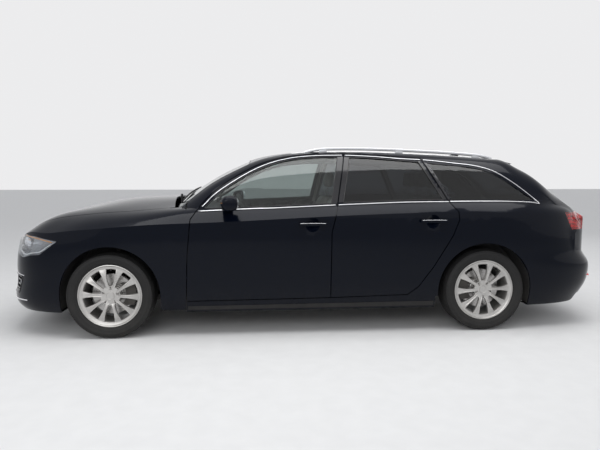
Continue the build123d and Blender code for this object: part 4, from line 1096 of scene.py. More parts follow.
def nose_furniture():
    """The bright surround of the grille, and framed side intakes."""
    nose_frame("grille_surround", GRILLE_RIM, 0.030, 0.012, 0.014, "chrome", 0.002)
    for side in SIDES:
        sign = 1 if side == "left" else -1
        rim = [(sign * y, z) for y, z in INTAKE_RIM]
        nose_frame(f"intake_surround_{side}", rim, 0.020, 0.008, 0.008, "gloss_black", 0.001)


nose_furniture()


# ---------------------------------------------------------------- small pieces on the outside
HANDLES = {"front_door": (-0.020, 0.864), "rear_door": (0.922, 0.883)}
HANDLE_FACE = -0.962
RAIL_Y, RAIL_START, RAIL_END = 0.557, -0.055, 1.545
MIRROR_TREE = tree_of(["mirror_left"])


def on_mirror(y, z, direction=-1):
    """The point and normal on the left mirror's housing, from behind or from ahead of it."""
    point, normal, _, _ = MIRROR_TREE.ray_cast(Vector((-0.2 if direction < 0 else -1.2, y, z)),
                                               Vector((direction, 0, 0)))
    return point, (normal if normal.x * direction < 0 else -normal)


def run(points, ups, width, height, finish, **settings):
    """A moulding through a few guide points, all of it standing along one direction."""
    path = smooth_path(points, settings.pop("step", 0.010))
    return moulding(path, [Vector(ups)] * len(path), width, height, finish, **settings)


def handle_trims():
    """Bright strips along the tops of the door handles."""
    for door, (x, z) in HANDLES.items():
        strip = run([(x - 0.100, HANDLE_FACE + 0.004, z + 0.006), (x - 0.05, HANDLE_FACE, z + 0.0075),
                     (x + 0.05, HANDLE_FACE, z + 0.0075), (x + 0.100, HANDLE_FACE + 0.004, z + 0.006)],
                    (0, -1, 0), 0.0075, 0.003, "chrome")
        for side in SIDES:
            add_piece(f"{door}_handle_strip_{side}", on_side_of(strip.copy(), side), f"{door}_{side}", "rail",
                      "chrome")


def mirror_parts():
    """Mirror glass in a black rim, and a lamp strip round the front."""
    outline = rounded_loop([(-1.031, 0.989), (-0.945, 0.986), (-0.936, 1.030), (-0.945, 1.062), (-0.975, 1.073),
                            (-1.020, 1.069), (-1.034, 1.045)], 0.018)
    rim = draped([tuple(p) for p in outline], on_mirror, 0.0015, name="rim")
    inner = inset_loop([tuple(p) for p in outline], 0.004)
    glass = draped([tuple(p) for p in inner], on_mirror, 0.0012, 0.0015, name="glass")
    strip_path = [on_mirror(y, 1.030, 1) for y in (-0.94, -0.96, -0.98, -1.0, -1.015, -1.028)]
    points, ups = steadied(strip_path)
    strip = moulding(points, ups, 0.007, 0.0025, "lamp_amber", lift=0.0005)
    for side in SIDES:
        node = f"mirror_{side}"
        for label, mesh, finish in (("rim", rim, "black_plastic"), ("glass", glass, "mirror"),
                                    ("signal", strip, "lamp_amber")):
            add_piece(f"{node}_{label}", on_side_of(mesh.copy(), side), BODY_OF[node], "trim", finish)


def roof_rails():
    """Low rounded bars that run down into the roof at both ends, with feet under them."""
    parts = []
    path = smooth_path([(RAIL_START, 0, 0), (-0.02, 0, 0.010), (0.06, 0, 0.021), (0.20, 0, 0.026), (0.75, 0, 0.027),
                        (1.30, 0, 0.026), (1.44, 0, 0.021), (1.51, 0, 0.010), (RAIL_END, 0, 0)], 0.012)
    hits = [on_top(p.x, -RAIL_Y) for p in path]
    points, _ = steadied(hits)
    points = [point + Vector((0, 0, p.z - 0.004)) for point, p in zip(points, path)]
    bar = moulding(points, [Vector((0, 0, 1))] * len(points), 0.024, 0.014, "satin_rail", rounding=0.0065)
    parts.append(bar)
    for x in (0.10, 0.74, 1.40):
        foot, _ = on_top(x, -RAIL_Y)
        parts.append(moved(box_mesh("foot", (-0.032, -0.007, -0.006), (0.032, 0.007, 0.020), 0.005, 3),
                           Matrix.Translation(foot)))
    mesh = joined("rail", [numbered(part, 0) for part in parts])
    for side in SIDES:
        add_piece(f"roof_rail_{side}", on_side_of(mesh.copy(), side), "body", SLOT_OF["roof_rails"], "satin_rail",
                  replaces=["roof_rails"])


def roof_antenna():
    """A small swept fin at the back of the roof."""
    rings = []
    for share in (0.0, 0.3, 0.6, 0.85, 1.0):
        length, half = 0.150 * (1 - 0.72 * share), 0.022 * (1 - 0.8 * share)
        back, up = 1.455 + 0.03 * share, 0.048 * share
        base, _ = on_top(1.40, 0)
        rings.append([(back - length * (1 + math.cos(a)) / 2, half * math.sin(a), base.z - 0.004 + up)
                      for a in (2 * math.pi * k / 32 for k in range(32))])
    add_piece("roof_antenna", mesh_from(lofted(rings), "fin"), "body", "trim", "paint")


def sill_trims():
    """Grained covers along the feet of the sills, behind the front wheels to the rear ones."""
    patch("sill_cover", [(-0.975, 0.206), (0.950, 0.206), (0.950, 0.245), (-0.975, 0.236)], 0.0022, "black_plastic",
          "body", lift=0.0004)


def nose_trims():
    """The bright blade along the chin, and strips over the side intakes with small lamps in them."""
    ys = [k * 0.02 for k in range(-39, 40)]
    hits = [on_nose(y, 0.262 + 0.030 * abs(y)**2) for y in ys]
    points, ups = steadied(hits)
    add_piece("chin_blade", moulding(points, ups, 0.013, 0.010, "chrome", lift=0.002), "body", "rail", "chrome")
    for side in SIDES:
        hits = [on_nose(y, 0.486 - 0.07 * (abs(y) - 0.5)) for y in (-0.46 - 0.02 * k for k in range(16))]
        points, ups = steadied(hits)
        strip = on_side_of(moulding(points, ups, 0.010, 0.006, "chrome", lift=0.001), side)
        add_piece(f"intake_strip_{side}", strip, "body", "rail", "chrome")
        lamp_body = mesh_from(domed([(0, -0.004), (0.016, -0.002), (0.026, 0.004), (0.031, 0.012), (0.033, 0.020),
                                     (0.030, 0.030), (0, 0.034)], 40), "fog")
        at, _ = on_nose(-0.650, 0.500)
        place_lamp = Matrix.Translation((at.x + 0.022, at.y, 0.398)) @ Matrix.Rotation(math.radians(-90), 4, "Z")
        add_piece(f"fog_lamp_{side}", on_side_of(moved(lamp_body, place_lamp), side), "body", "lamp_clear",
                  "reflector")


def blank_plate(name, x, z, body, width=0.52, height=0.112):
    """A plain plate in a black holder."""
    half, tall = width / 2, height / 2
    depth = 1 if x > 0 else -1
    outer = rounded_loop([(-half - 0.006, z - tall - 0.006), (half + 0.006, z - tall - 0.006),
                          (half + 0.006, z + tall + 0.006), (-half - 0.006, z + tall + 0.006)], 0.010)
    inner = rounded_loop([(-half, z - tall), (half, z - tall), (half, z + tall), (-half, z + tall)], 0.008)
    face_x = x + depth * 0.004
    holder = mesh_from(plate([(face_x - depth * 0.008, p.x, p.y) for p in outer], [], 0.010 * depth, (1, 0, 0)),
                       "holder")
    sheet = mesh_from(plate([(face_x + depth * 0.002, p.x, p.y) for p in inner], [], 0.0015 * depth, (1, 0, 0)),
                      "sheet")
    add_piece(name, joined(name, [numbered(holder, 0), numbered(sheet, 1)]), body, "trim", "black_plastic", "plate")


handle_trims()
mirror_parts()
roof_rails()
roof_antenna()
sill_trims()
nose_trims()
blank_plate("front_plate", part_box("grille")[0][0] + 0.004, 0.395, "body")
blank_plate("rear_plate", max(on_tail(y, z)[0].x for y in (0.0, 0.12, 0.25) for z in (0.68, 0.735, 0.79)), 0.735,
            "tailgate")


# ---------------------------------------------------------------- tail
def tail_trims():
    """The bright strip over the plate, bumper reflectors, the high brake lamp and the lower cover."""
    hits = [on_tail(y, 0.822) for y in (-0.28 + 0.02 * k for k in range(29))]
    points, ups = steadied(hits)
    add_piece("tailgate_strip", moulding(points, ups, 0.014, 0.010, "chrome", lift=0.002), "tailgate", "rail",
              "chrome")
    for side in SIDES:
        hits = [on_tail(y, 0.400) for y in (-0.56 - 0.01 * k for k in range(17))]
        points, ups = steadied(hits)
        mesh = on_side_of(moulding(points, ups, 0.026, 0.005, "lamp_inner_red", lift=0.001), side)
        add_piece(f"rear_reflector_{side}", mesh, "body", "lamp_red", "lamp_inner_red")
    hits = [hit((1.768, y, 1.20), (0, 0, 1)) for y in (-0.15, 0.0, 0.15)]
    low = min(point.z for point, _ in hits)
    lamp_bar = box_mesh("bar", (1.715, -0.150, low - 0.006), (1.735, 0.150, low + 0.004), 0.003, 2)
    add_piece("high_brake_lamp", lamp_bar, "tailgate", "lamp_red", "lamp_inner_red")
    low_cover = draped([(-0.50, 0.235), (0.50, 0.235), (0.56, 0.300), (-0.56, 0.300)], on_tail, 0.003, 0.0004)
    add_piece("rear_lower_cover", low_cover, "body", "trim", "black_plastic")


def rear_wiper():
    """A wiper arm and blade across the tail glass."""
    blade_hits = [on_tail(y, 1.085 + 0.10 * (y + 0.02)) for y in (-0.02 + 0.02 * k for k in range(19))]
    points, ups = steadied(blade_hits)
    blade = moulding(points, ups, 0.007, 0.012, "rubber_seal", lift=0.007)
    arm = moulding(points, ups, 0.014, 0.006, "black_plastic", lift=0.017)
    pivot = on_tail(-0.02, 1.080)[0]
    boss = mesh_from(domed([(0, -0.004), (0.014, -0.003), (0.021, 0.003), (0.022, 0.024), (0, 0.026)], 32), "boss")
    boss = moved(boss, Matrix.Translation(pivot + Vector((0.014, 0, 0.008)))
                 @ Matrix.Rotation(math.radians(90), 4, "Z"))
    parts = [numbered(blade, 0), numbered(arm, 1), numbered(boss, 1)]
    add_piece("rear_wiper", joined("rear_wiper", parts), "tailgate", "trim", "rubber_seal", "black_plastic")


tail_trims()
rear_wiper()


# ---------------------------------------------------------------- seats
CLOTH_FRAMES = 20
VOXEL = 0.007
FRONT_SEAT = (0.0, -0.370)
BENCH = (0.830, 0.0)


def soft_block(name, low, high, pinch=0.03, crown=0.012, rounding=0.035, cuts=9):
    """A pad's first shape: a rounded block, with its sides pulled in and its top crowned."""
    work = bmesh.new()
    bmesh.ops.create_cube(work, size=2.0)
    bmesh.ops.subdivide_edges(work, edges=work.edges, cuts=cuts, use_grid_fill=True)
    low, high = Vector(low), Vector(high)
    middle, half = (low + high) / 2, (high - low) / 2
    for vert in work.verts:
        u, v, w = vert.co
        at = Vector((u * half.x, v * half.y, w * half.z))
        over = Vector([math.copysign(max(abs(c) - (half[i] - rounding), 0.0), c) for i, c in enumerate(at)])
        if over.length > rounding:
            at -= over - over.normalized() * rounding
        at.x *= 1 - pinch * (1 - v * v)
        at.y *= 1 - pinch * (1 - u * u)
        at.z += crown * (1 - u * u) * (1 - v * v) * max(w, 0)
        vert.co = middle + at
    return mesh_from(work, name)


def leaned(mesh, x, z, degrees):
    """Tips a pad back about a line across the car."""
    turn = Matrix.Translation((x, 0, z)) @ Matrix.Rotation(math.radians(degrees), 4, "Y")
    return moved(mesh, turn @ Matrix.Translation((-x, 0, -z)))


def puffed(mesh, pressure=4.0, cap=0.010):
    """Blows a pad up as cloth, no point further than the cap, and applies it."""
    seed = shown("seed", mesh)
    even = seed.modifiers.new("even", "REMESH")
    even.mode, even.voxel_size = "VOXEL", VOXEL
    skin = bpy.data.meshes.new_from_object(seed.evaluated_get(bpy.context.evaluated_depsgraph_get()))
    bpy.data.objects.remove(seed)
    start = [vert.co.copy() for vert in skin.vertices]
    cloth = shown("cloth", skin)
    sim = cloth.modifiers.new("cloth", "CLOTH")
    sim.settings.use_pressure = True
    sim.settings.uniform_pressure_force = pressure
    sim.settings.effector_weights.gravity = 0.0
    sim.point_cache.frame_end = CLOTH_FRAMES
    for step in range(1, CLOTH_FRAMES + 1):
        bpy.context.scene.frame_set(step)
    made = bpy.data.meshes.new_from_object(cloth.evaluated_get(bpy.context.evaluated_depsgraph_get()))
    bpy.data.objects.remove(cloth)
    bpy.context.scene.frame_set(1)
    for vert, before in zip(made.vertices, start):
        shift = vert.co - before
        if shift.length > cap:
            vert.co = before + shift * (cap / shift.length)
    made.shade_smooth()
    return made


def channelled(mesh, across, along, depth, lines, reach=0.012):
    """Sewn channels: valleys along lines of a pad, as (axis, place) pairs, on the side that faces "along"."""
    for vert in mesh.vertices:
        facing = max(vert.normal.dot(along), 0.0)
        for place_at in lines:
            near = abs(vert.co.dot(across) - place_at)
            if near < reach * 2.5:
                vert.co -= along * (depth * facing * math.exp(-(near / reach)**2))
    return mesh


def pad(name, mesh, sides=("left",), slot="seat", finish="leather", replaces=()):
    """Puts a finished pad in on the sides it belongs to."""
    for side in sides:
        label = name if len(sides) == 1 else f"{name}_{side}"
        piece = add_piece(label, on_side_of(mesh.copy(), side), "body", slot, finish, replaces=replaces)


def head_rest(x, y):
    """A head rest pad, leaned a little."""
    mesh = soft_block("head_rest", (x + 0.228, y - 0.118, 1.128), (x + 0.310, y + 0.118, 1.278), crown=0.0,
                      rounding=0.036, cuts=7)
    return leaned(mesh, x + 0.26, 1.13, 5)


def posts(x, ys):
    """Pairs of bright posts under the head rests."""
    parts = []
    for y in ys:
        for shift in (-0.060, 0.060):
            post = mesh_from(domed([(0, 0.0), (0.0062, 0.001), (0.0065, 0.004), (0.0065, 0.108), (0, 0.110)], 16),
                             "post")
            turn = Matrix.Translation((x + 0.252, y + shift, 1.045)) @ Matrix.Rotation(math.radians(90), 4, "X")
            parts.append(moved(post, turn))
    return joined("posts", [numbered(part, 0) for part in parts])


def cushion_bolsters(x, y, half):
    """The raised sides of a seat cushion."""
    low = soft_block("bolster", (x - 0.395, y - half, 0.425), (x + 0.10, y - half + 0.080, 0.552), 0.0, 0.006, 0.032)
    return leaned(low, x, 0.50, 4)


def front_seats():
    """Cushion, side bolsters, backrest and head rest of each front seat."""
    x, y = FRONT_SEAT
    both = ("left", "right")
    cushion = soft_block("cushion", (x - 0.405, y - 0.180, 0.405), (x + 0.080, y + 0.180, 0.505), 0.0, 0.010)
    cushion = channelled(puffed(leaned(cushion, x, 0.50, 3.5)), Vector((1, 0, 0)), Vector((0, 0, 1)), 0.006,
                         [x - 0.30, x - 0.20, x - 0.10, x])
    pad("front_cushion", cushion, both, replaces=["front_seats"])
    for label, at in (("outer", y), ("inner", y + 0.410)):
        pad(f"front_cushion_{label}_bolster", cushion_bolsters(x, at, 0.245), both)
    back = soft_block("back", (x + 0.075, y - 0.165, 0.515), (x + 0.165, y + 0.165, 1.060), 0.0, 0.0, 0.036)
    back = channelled(puffed(leaned(back, x + 0.12, 0.52, 13)), Vector((0, 0, 1)), Vector((-1, 0, 0)), 0.006,
                      [0.62, 0.70, 0.78, 0.86, 0.94])
    pad("front_backrest", back, both)
    for label, at in (("outer", y - 0.205), ("inner", y + 0.205)):
        side = soft_block("side", (x + 0.060, at - 0.042, 0.535), (x + 0.190, at + 0.042, 0.985), 0.0, 0.0, 0.034)
        pad(f"front_backrest_{label}_bolster", leaned(side, x + 0.12, 0.52, 13), both)
    pad("front_head_rest", puffed(head_rest(x, y), cap=0.006), both)
    shell = box_mesh("shell", (x + 0.150, y - 0.235, 0.420), (x + 0.215, y + 0.235, 1.050), 0.024, 4)
    base = box_mesh("base", (x - 0.330, y - 0.190, 0.262), (x + 0.130, y + 0.190, 0.420), 0.018, 3)
    frame_mesh = joined("frame", [numbered(leaned(shell, x + 0.12, 0.52, 13), 0), numbered(base, 0)])
    for side in both:
        add_piece(f"front_seat_frame_{side}", on_side_of(frame_mesh.copy(), side), "body", "seat", "cabin")
        add_piece(f"front_head_rest_posts_{side}", on_side_of(posts(x, (y,)), side), "body", "rail", "chrome")


def rear_bench():
    """A bench cushion and a split back with three head rests."""
    x, _ = BENCH
    cushion = soft_block("bench_cushion", (x - 0.405, -0.615, 0.405), (x + 0.080, 0.615, 0.510), 0.0, 0.012, cuts=13)
    cushion = channelled(puffed(leaned(cushion, x, 0.50, 3.5)), Vector((0, 1, 0)), Vector((0, 0, 1)), 0.008,
                         [-0.46, -0.17, 0.17, 0.46])
    pad("bench_cushion", cushion, replaces=["rear_bench"])
    for label, low, high in (("left", -0.612, 0.118), ("right", 0.126, 0.612)):
        back = soft_block("bench_back", (x + 0.075, low, 0.515), (x + 0.185, high, 1.062), 0.0, 0.0, 0.036, cuts=11)
        back = channelled(puffed(leaned(back, x + 0.12, 0.52, 13)), Vector((0, 1, 0)), Vector((-1, 0, 0)), 0.008,
                          [-0.46, -0.17, 0.46])
        pad(f"bench_back_{label}", back)
    rest = puffed(head_rest(x, 0.0), cap=0.006)
    for label, y in (("left", -0.37), ("middle", 0.0), ("right", 0.37)):
        pad(f"rear_head_rest_{label}", moved(rest.copy(), Matrix.Translation((0, y, 0))))
    add_piece("rear_head_rest_posts", posts(x, (-0.37, 0.0, 0.37)), "body", "rail", "chrome")
    shell = box_mesh("shell", (x + 0.172, -0.610, 0.420), (x + 0.212, 0.610, 1.055), 0.015, 3)
    base = box_mesh("base", (x - 0.330, -0.505, 0.262), (x + 0.130, 0.505, 0.420), 0.018, 3)
    frame_mesh = joined("frame", [numbered(leaned(shell, x + 0.12, 0.52, 13), 0), numbered(base, 0)])
    add_piece("bench_frame", frame_mesh, "body", "seat", "carpet")


front_seats()
rear_bench()


# ---------------------------------------------------------------- cabin
DASH_TREE = tree_of(["dashboard"])
DASH_FACE = -0.645
DOOR_TREES = {door: tree_of([f"door_{door}_left"]) for door in ENDS}


def on_dash(x, y):
    """The height of the dashboard or console at a place."""
    return DASH_TREE.ray_cast(Vector((x, y, 1.3)), Vector((0, 0, -1)))[0].z


def inside_door(door, x, z):
    """How far out the inner face of a left door is."""
    return DOOR_TREES[door].ray_cast(Vector((x, -0.45, z)), Vector((0, -1, 0)))[0].y


def vent(y, z, width, height):
    """An air vent: a rounded frame with slats."""
    corners = [(y - width / 2, z - height / 2), (y + width / 2, z - height / 2), (y + width / 2, z + height / 2),
               (y - width / 2, z + height / 2)]
    loop = rounded_loop(corners, 0.010)
    path = smooth_path([(DASH_FACE + 0.002, p.x, p.y) for p in loop], 0.006, closed=True)
    frame_mesh = numbered(moulding(path, [Vector((1, 0, 0))] * len(path), 0.005, 0.008, "chrome", closed=True), 0)
    slat = box_mesh("slat", (DASH_FACE - 0.002, y - width / 2, z - height / 2 + 0.007),
                    (DASH_FACE + 0.005, y + width / 2, z - height / 2 + 0.009), 0.0006, 1)
    slats = numbered(repeated(slat, "cabin", 5, shift=(0, 0, (height - 0.016) / 4)), 1)
    return joined("vent", [frame_mesh, slats])


def dashboard_details():
    """Vents, instruments under a cowl, a screen, a trim strip, the gear lever and cup holders."""
    for k, (y, width) in enumerate(((-0.690, 0.085), (-0.085, 0.115), (0.085, 0.115), (0.690, 0.085))):
        add_piece(f"air_vent_{k}", vent(y, 0.835, width, 0.058), "body", "cabin", "chrome", "cabin")
    strip = [(DASH_FACE + 0.001, y, 0.775) for y in (-0.68, -0.35, 0.0, 0.35, 0.68)]
    add_piece("dash_strip", run(strip, (1, 0, 0), 0.028, 0.004, "satin_rail"), "body", "cabin", "satin_rail")
    bezel = box_mesh("bezel", (-0.700, -0.135, 0.905), (-0.688, 0.135, 1.010), 0.004, 3)
    face = box_mesh("face", (-0.689, -0.124, 0.915), (-0.6865, 0.124, 1.000), 0.001, 1)
    add_piece("centre_screen", joined("screen", [numbered(bezel, 0), numbered(face, 1)]), "body", "cabin", "cabin",
              "gloss_black")
    cowl = []
    for x, drop in ((-0.760, 0.012), (-0.700, 0.0), (-0.640, 0.006)):
        cowl.append([(x, -0.37 + 0.185 * math.cos(a), 0.925 + (0.075 - drop) * math.sin(a) * (1 if a < math.pi else 0.2))
                     for a in (2 * math.pi * k / 40 for k in range(40))])
    add_piece("instrument_cowl", mesh_from(lofted(cowl), "cowl"), "body", "cabin", "cabin")
    dials = []
    for y in (-0.455, -0.285):
        ring = mesh_from(spun([(0.052, 0.0), (0.056, -0.004), (0.060, 0.0), (0.058, 0.006), (0.052, 0.006)], 48), "ring")
        disc = mesh_from(domed([(0, 0.002), (0.030, 0.002), (0.0525, 0.003), (0.0525, 0.006), (0, 0.007)], 48), "disc")
        turn = Matrix.Translation((-0.638, y, 0.932)) @ Matrix.Rotation(math.radians(90), 4, "Z")
        dials += [numbered(moved(ring, turn), 0), numbered(moved(disc, turn), 1)]
    add_piece("instruments", joined("dials", dials), "body", "cabin", "chrome", "gloss_black")
    top = on_dash(-0.20, 0)
    knob = domed([(0, 0.075), (0.016, 0.073), (0.023, 0.060), (0.020, 0.040), (0.012, 0.020), (0.026, 0.004),
                  (0.030, -0.004), (0, -0.005)], 32)
    lever = mesh_from(knob, "lever")
    lever = moved(lever, Matrix.Translation((-0.20, 0, top)) @ Matrix.Rotation(math.radians(90), 4, "X"))
    add_piece("gear_lever", lever, "body", "cabin", "dark_leather")
    cup = mesh_from(spun([(0.034, 0), (0.037, 0.003), (0.041, 0.002), (0.042, -0.004), (0.034, -0.004)], 40), "cup")
    cups = []
    for y in (-0.045, 0.045):
        turn = Matrix.Translation((-0.06, y, on_dash(-0.06, y))) @ Matrix.Rotation(math.radians(90), 4, "X")
        cups.append(numbered(moved(cup.copy(), turn), 0))
    add_piece("cup_holders", joined("cups", cups), "body", "cabin", "chrome")


def wheel_boss():
    """The padded middle of the steering wheel, on its column's slant."""
    low, high = (Vector(c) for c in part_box("steering_wheel"))
    centre = (low + high) / 2
    boss = mesh_from(domed([(0, -0.012), (0.040, -0.010), (0.066, -0.003), (0.074, 0.010), (0.070, 0.026),
                            (0, 0.030)], 48), "boss")
    tilt = math.radians(28)
    out = Vector((math.cos(tilt), 0, math.sin(tilt)))
    turn = Matrix.Translation(centre + out * 0.010) @ out.to_track_quat("-Y", "Z").to_matrix().to_4x4()
    add_piece("steering_wheel_boss", moved(boss, turn), "steering_wheel", "cabin", "cabin")


def door_cards():
    """Arm rests, pulls and perforated speakers on the insides of the doors."""
    for door, (start, end, z) in {"front": (-0.60, 0.02, 0.655), "rear": (0.30, 0.78, 0.675)}.items():
        body = f"{door}_door"
        at = inside_door(door, (start + end) / 2, z)
        rest = box_mesh("rest", (start, at - 0.004, z - 0.035), (end, at + 0.055, z + 0.022), 0.020, 4)
        pull = run([(start + 0.06, at + 0.004, z + 0.10), (start + 0.08, at + 0.022, z + 0.105),
                    (start + 0.16, at + 0.022, z + 0.115), (start + 0.18, at + 0.004, z + 0.12)],
                   (0, 1, 0), 0.014, 0.010, "chrome")
        speaker_x = start + 0.03 if door == "front" else end - 0.12
        face = inside_door(door, speaker_x, 0.43)
        ring = mesh_from(spun([(0.074, -0.002), (0.076, 0.004), (0.084, 0.005), (0.087, -0.002)], 48), "ring")
        ring.transform(Matrix.Translation((speaker_x, face, 0.43)))
        dots = []
        for count, radius in ((6, 0.016), (12, 0.031), (18, 0.046), (24, 0.061)):
            dot = mesh_from(domed([(0, 0.0035), (0.0035, 0.003), (0.0045, -0.001), (0, -0.0015)], 10), "dot")
            dot.transform(Matrix.Translation((radius, 0, 0)))
            dots.append(moved(repeated(dot, "lamp_black", count, turn=(0, 2 * math.pi / count, 0)),
                              Matrix.Translation((speaker_x, face, 0.43))))
        for side in SIDES:
            parts = [numbered(rest.copy(), 0), numbered(ring.copy(), 0), numbered(pull.copy(), 1),
                     *[numbered(dot.copy(), 2) for dot in dots]]
            mesh = on_side_of(joined("card", parts), side)
            add_piece(f"{body}_card_{side}", mesh, f"{body}_{side}", "cabin", "dark_leather", "chrome", "lamp_black")


def cabin_small_parts():
    """The mirror on the windscreen, sun visors and carpets."""
    mirror = box_mesh("mirror", (-0.512, -0.120, 1.262), (-0.494, 0.120, 1.318), 0.008, 3)
    glass = box_mesh("glass", (-0.4945, -0.110, 1.268), (-0.4925, 0.110, 1.312), 0.0008, 1)
    stem = box_mesh("stem", (-0.530, -0.012, 1.300), (-0.505, 0.012, 1.352), 0.005, 2)
    add_piece("inner_mirror", joined("inner", [numbered(mirror, 0), numbered(glass, 1), numbered(stem, 0)]), "body",
              "cabin", "lamp_black", "mirror")
    for side in SIDES:
        visor = leaned(box_mesh("visor", (-0.495, -0.520, 1.318), (-0.335, -0.180, 1.330), 0.005, 3), -0.42, 1.32, -14)
        add_piece(f"sun_visor_{side}", on_side_of(visor, side), "body", "cabin", "lining")
        mat = box_mesh("mat", (-0.56, -0.60, 0.2605), (-0.10, -0.14, 0.272), 0.005, 2)
        back_mat = box_mesh("mat", (0.33, -0.60, 0.2605), (0.47, -0.08, 0.270), 0.0045, 2)
        mats = joined("mats", [numbered(mat, 0), numbered(back_mat, 0)])
        add_piece(f"floor_mats_{side}", on_side_of(mats, side), "body", "cabin", "carpet")


dashboard_details()
wheel_boss()
door_cards()
cabin_small_parts()


# ---------------------------------------------------------------- wheels
HUB = {"front": (-1.5545, 33.0), "rear": (1.3575, 3.0)}     # hub x, and how far round the wheel stands
HUB_Z = 0.325
TREAD_RADIUS = 0.325
TYRE_MIDDLE, TYRE_HALF = 0.806, 0.1125
SPOKE_COUNT = 10
TREAD_PITCHES = 72


def to_wheel(mesh, end, side):
    """Moves a piece made about the Y axis, outward along -Y, to its wheel."""
    x, turn = HUB[end]
    move = Matrix.Translation((x, 0, HUB_Z)) @ Matrix.Rotation(math.radians(-turn), 4, "Y")
    return on_side_of(moved(mesh, move), side)


def spoke_ring(radius, width, face, ridge, depth):
    """One section of a spoke at a radius: flat front with a raised ridge on one side, and drawn-in flanks."""
    half, back = width / 2, face + depth
    outline = [(-half, back), (-half * 1.06, face + 0.006), (-half * 0.98, face + 0.0012), (-half * 0.86, face),
               (half * 0.30, face + 0.0012), (half * 0.52, face - ridge * 0.6), (half * 0.72, face - ridge),
               (half * 0.92, face - ridge * 0.7), (half * 1.06, face + 0.006), (half, back)]
    return [(radius, y, across) for across, y in outline]


def spokes():
    """Ten spokes that start narrow at the hub and flare into the rim."""
    sections = [(0.040, 0.030, -0.876, 0.001, 0.030), (0.062, 0.026, -0.884, 0.002, 0.030),
                (0.085, 0.0215, -0.891, 0.003, 0.027), (0.110, 0.0220, -0.893, 0.0035, 0.025),
                (0.140, 0.0275, -0.8925, 0.0035, 0.024), (0.170, 0.0370, -0.890, 0.003, 0.024),
                (0.192, 0.0480, -0.887, 0.0025, 0.024), (0.204, 0.0560, -0.885, 0.002, 0.025),
                (0.213, 0.0640, -0.8835, 0.001, 0.022)]
    unit = mesh_from(lofted([spoke_ring(*section) for section in sections]), "spoke")
    return repeated(unit, "alloy", SPOKE_COUNT, turn=(0, 2 * math.pi / SPOKE_COUNT, 0))


def rim_ring():
    """The barrel, its outer lip and the dished band that the spokes run into."""
    profile = [(0.2385, -0.8995), (0.2350, -0.9005), (0.2315, -0.8990), (0.2290, -0.8940), (0.2240, -0.8895),
               (0.2150, -0.8875), (0.2070, -0.8850), (0.2025, -0.8790), (0.2010, -0.8660), (0.1990, -0.8300),
               (0.1960, -0.7600), (0.1970, -0.7260), (0.2060, -0.7180), (0.2200, -0.7150), (0.2385, -0.7140),
               (0.2385, -0.7200), (0.2230, -0.7260), (0.2180, -0.7400), (0.2180, -0.8740), (0.2240, -0.8860),
               (0.2385, -0.8930)]
    return mesh_from(spun(profile, 120), "ring")


def hub_face():
    """The hub with five pockets between the spokes' roots."""
    rim = [(0.0735 * math.cos(a), -0.866, 0.0735 * math.sin(a)) for a in (2 * math.pi * k / 60 for k in range(60))]
    holes = []
    for k in range(5):
        middle = math.radians(-18 + 72 * k)
        at_x, at_z = 0.056 * math.cos(middle), 0.056 * math.sin(middle)
        holes.append([(at_x + 0.0125 * math.cos(a), -0.866, at_z + 0.0125 * math.sin(a))
                      for a in (2 * math.pi * j / 20 for j in range(20))])
    return mesh_from(plate(rim, holes, -0.018), "hub")


def lug():
    """A wheel bolt with a six-sided head, in its pocket."""
    head = [[(0.0085 * scale * math.cos(a), y, 0.0085 * scale * math.sin(a)) for a in
             (math.pi * k / 3 for k in range(6))]
            for scale, y in ((1.0, -0.850), (1.0, -0.8715), (0.84, -0.8740), (0.5, -0.8740), (0.45, -0.8690))]
    washer = [(0.0, -0.855), (0.0118, -0.855), (0.0118, -0.866), (0.0095, -0.868), (0.0, -0.868)]
    mesh = joined("lug", [mesh_from(lofted(head), "head"), mesh_from(domed(washer, 24), "washer")])
    middle = math.radians(-18)
    mesh.transform(Matrix.Translation((0.056 * math.cos(middle), 0, 0.056 * math.sin(middle))))
    return repeated(mesh, "steel", 5, turn=(0, math.radians(72), 0))


def centre_cap():
    """A blank cap with a raised ring."""
    profile = [(0.0, -0.866), (0.0310, -0.866), (0.0310, -0.8860), (0.0295, -0.8885), (0.0270, -0.8890),
               (0.0255, -0.8875), (0.0240, -0.8872), (0.0120, -0.8885), (0.0, -0.8890)]
    return mesh_from(domed(profile, 48), "cap")


def brake_disc():
    """A vented disc with its hat."""
    profile = [(0.026, -0.836), (0.060, -0.836), (0.070, -0.833), (0.072, -0.812), (0.078, -0.808),
               (0.154, -0.808), (0.156, -0.806), (0.156, -0.799), (0.150, -0.798), (0.150, -0.794),
               (0.156, -0.793), (0.156, -0.786), (0.154, -0.784), (0.078, -0.784), (0.066, -0.786),
               (0.026, -0.790)]
    return mesh_from(spun(profile, 96), "disc")


def valve():
    profile = [(0.0, -0.868), (0.0045, -0.868), (0.0042, -0.884), (0.0048, -0.885), (0.0048, -0.893),
               (0.0035, -0.896), (0.0, -0.896)]
    mesh = mesh_from(domed(profile, 14), "valve")
    mesh.transform(Matrix.Rotation(math.radians(-54), 4, "Y") @ Matrix.Translation((0.197, 0, 0)))
    return mesh


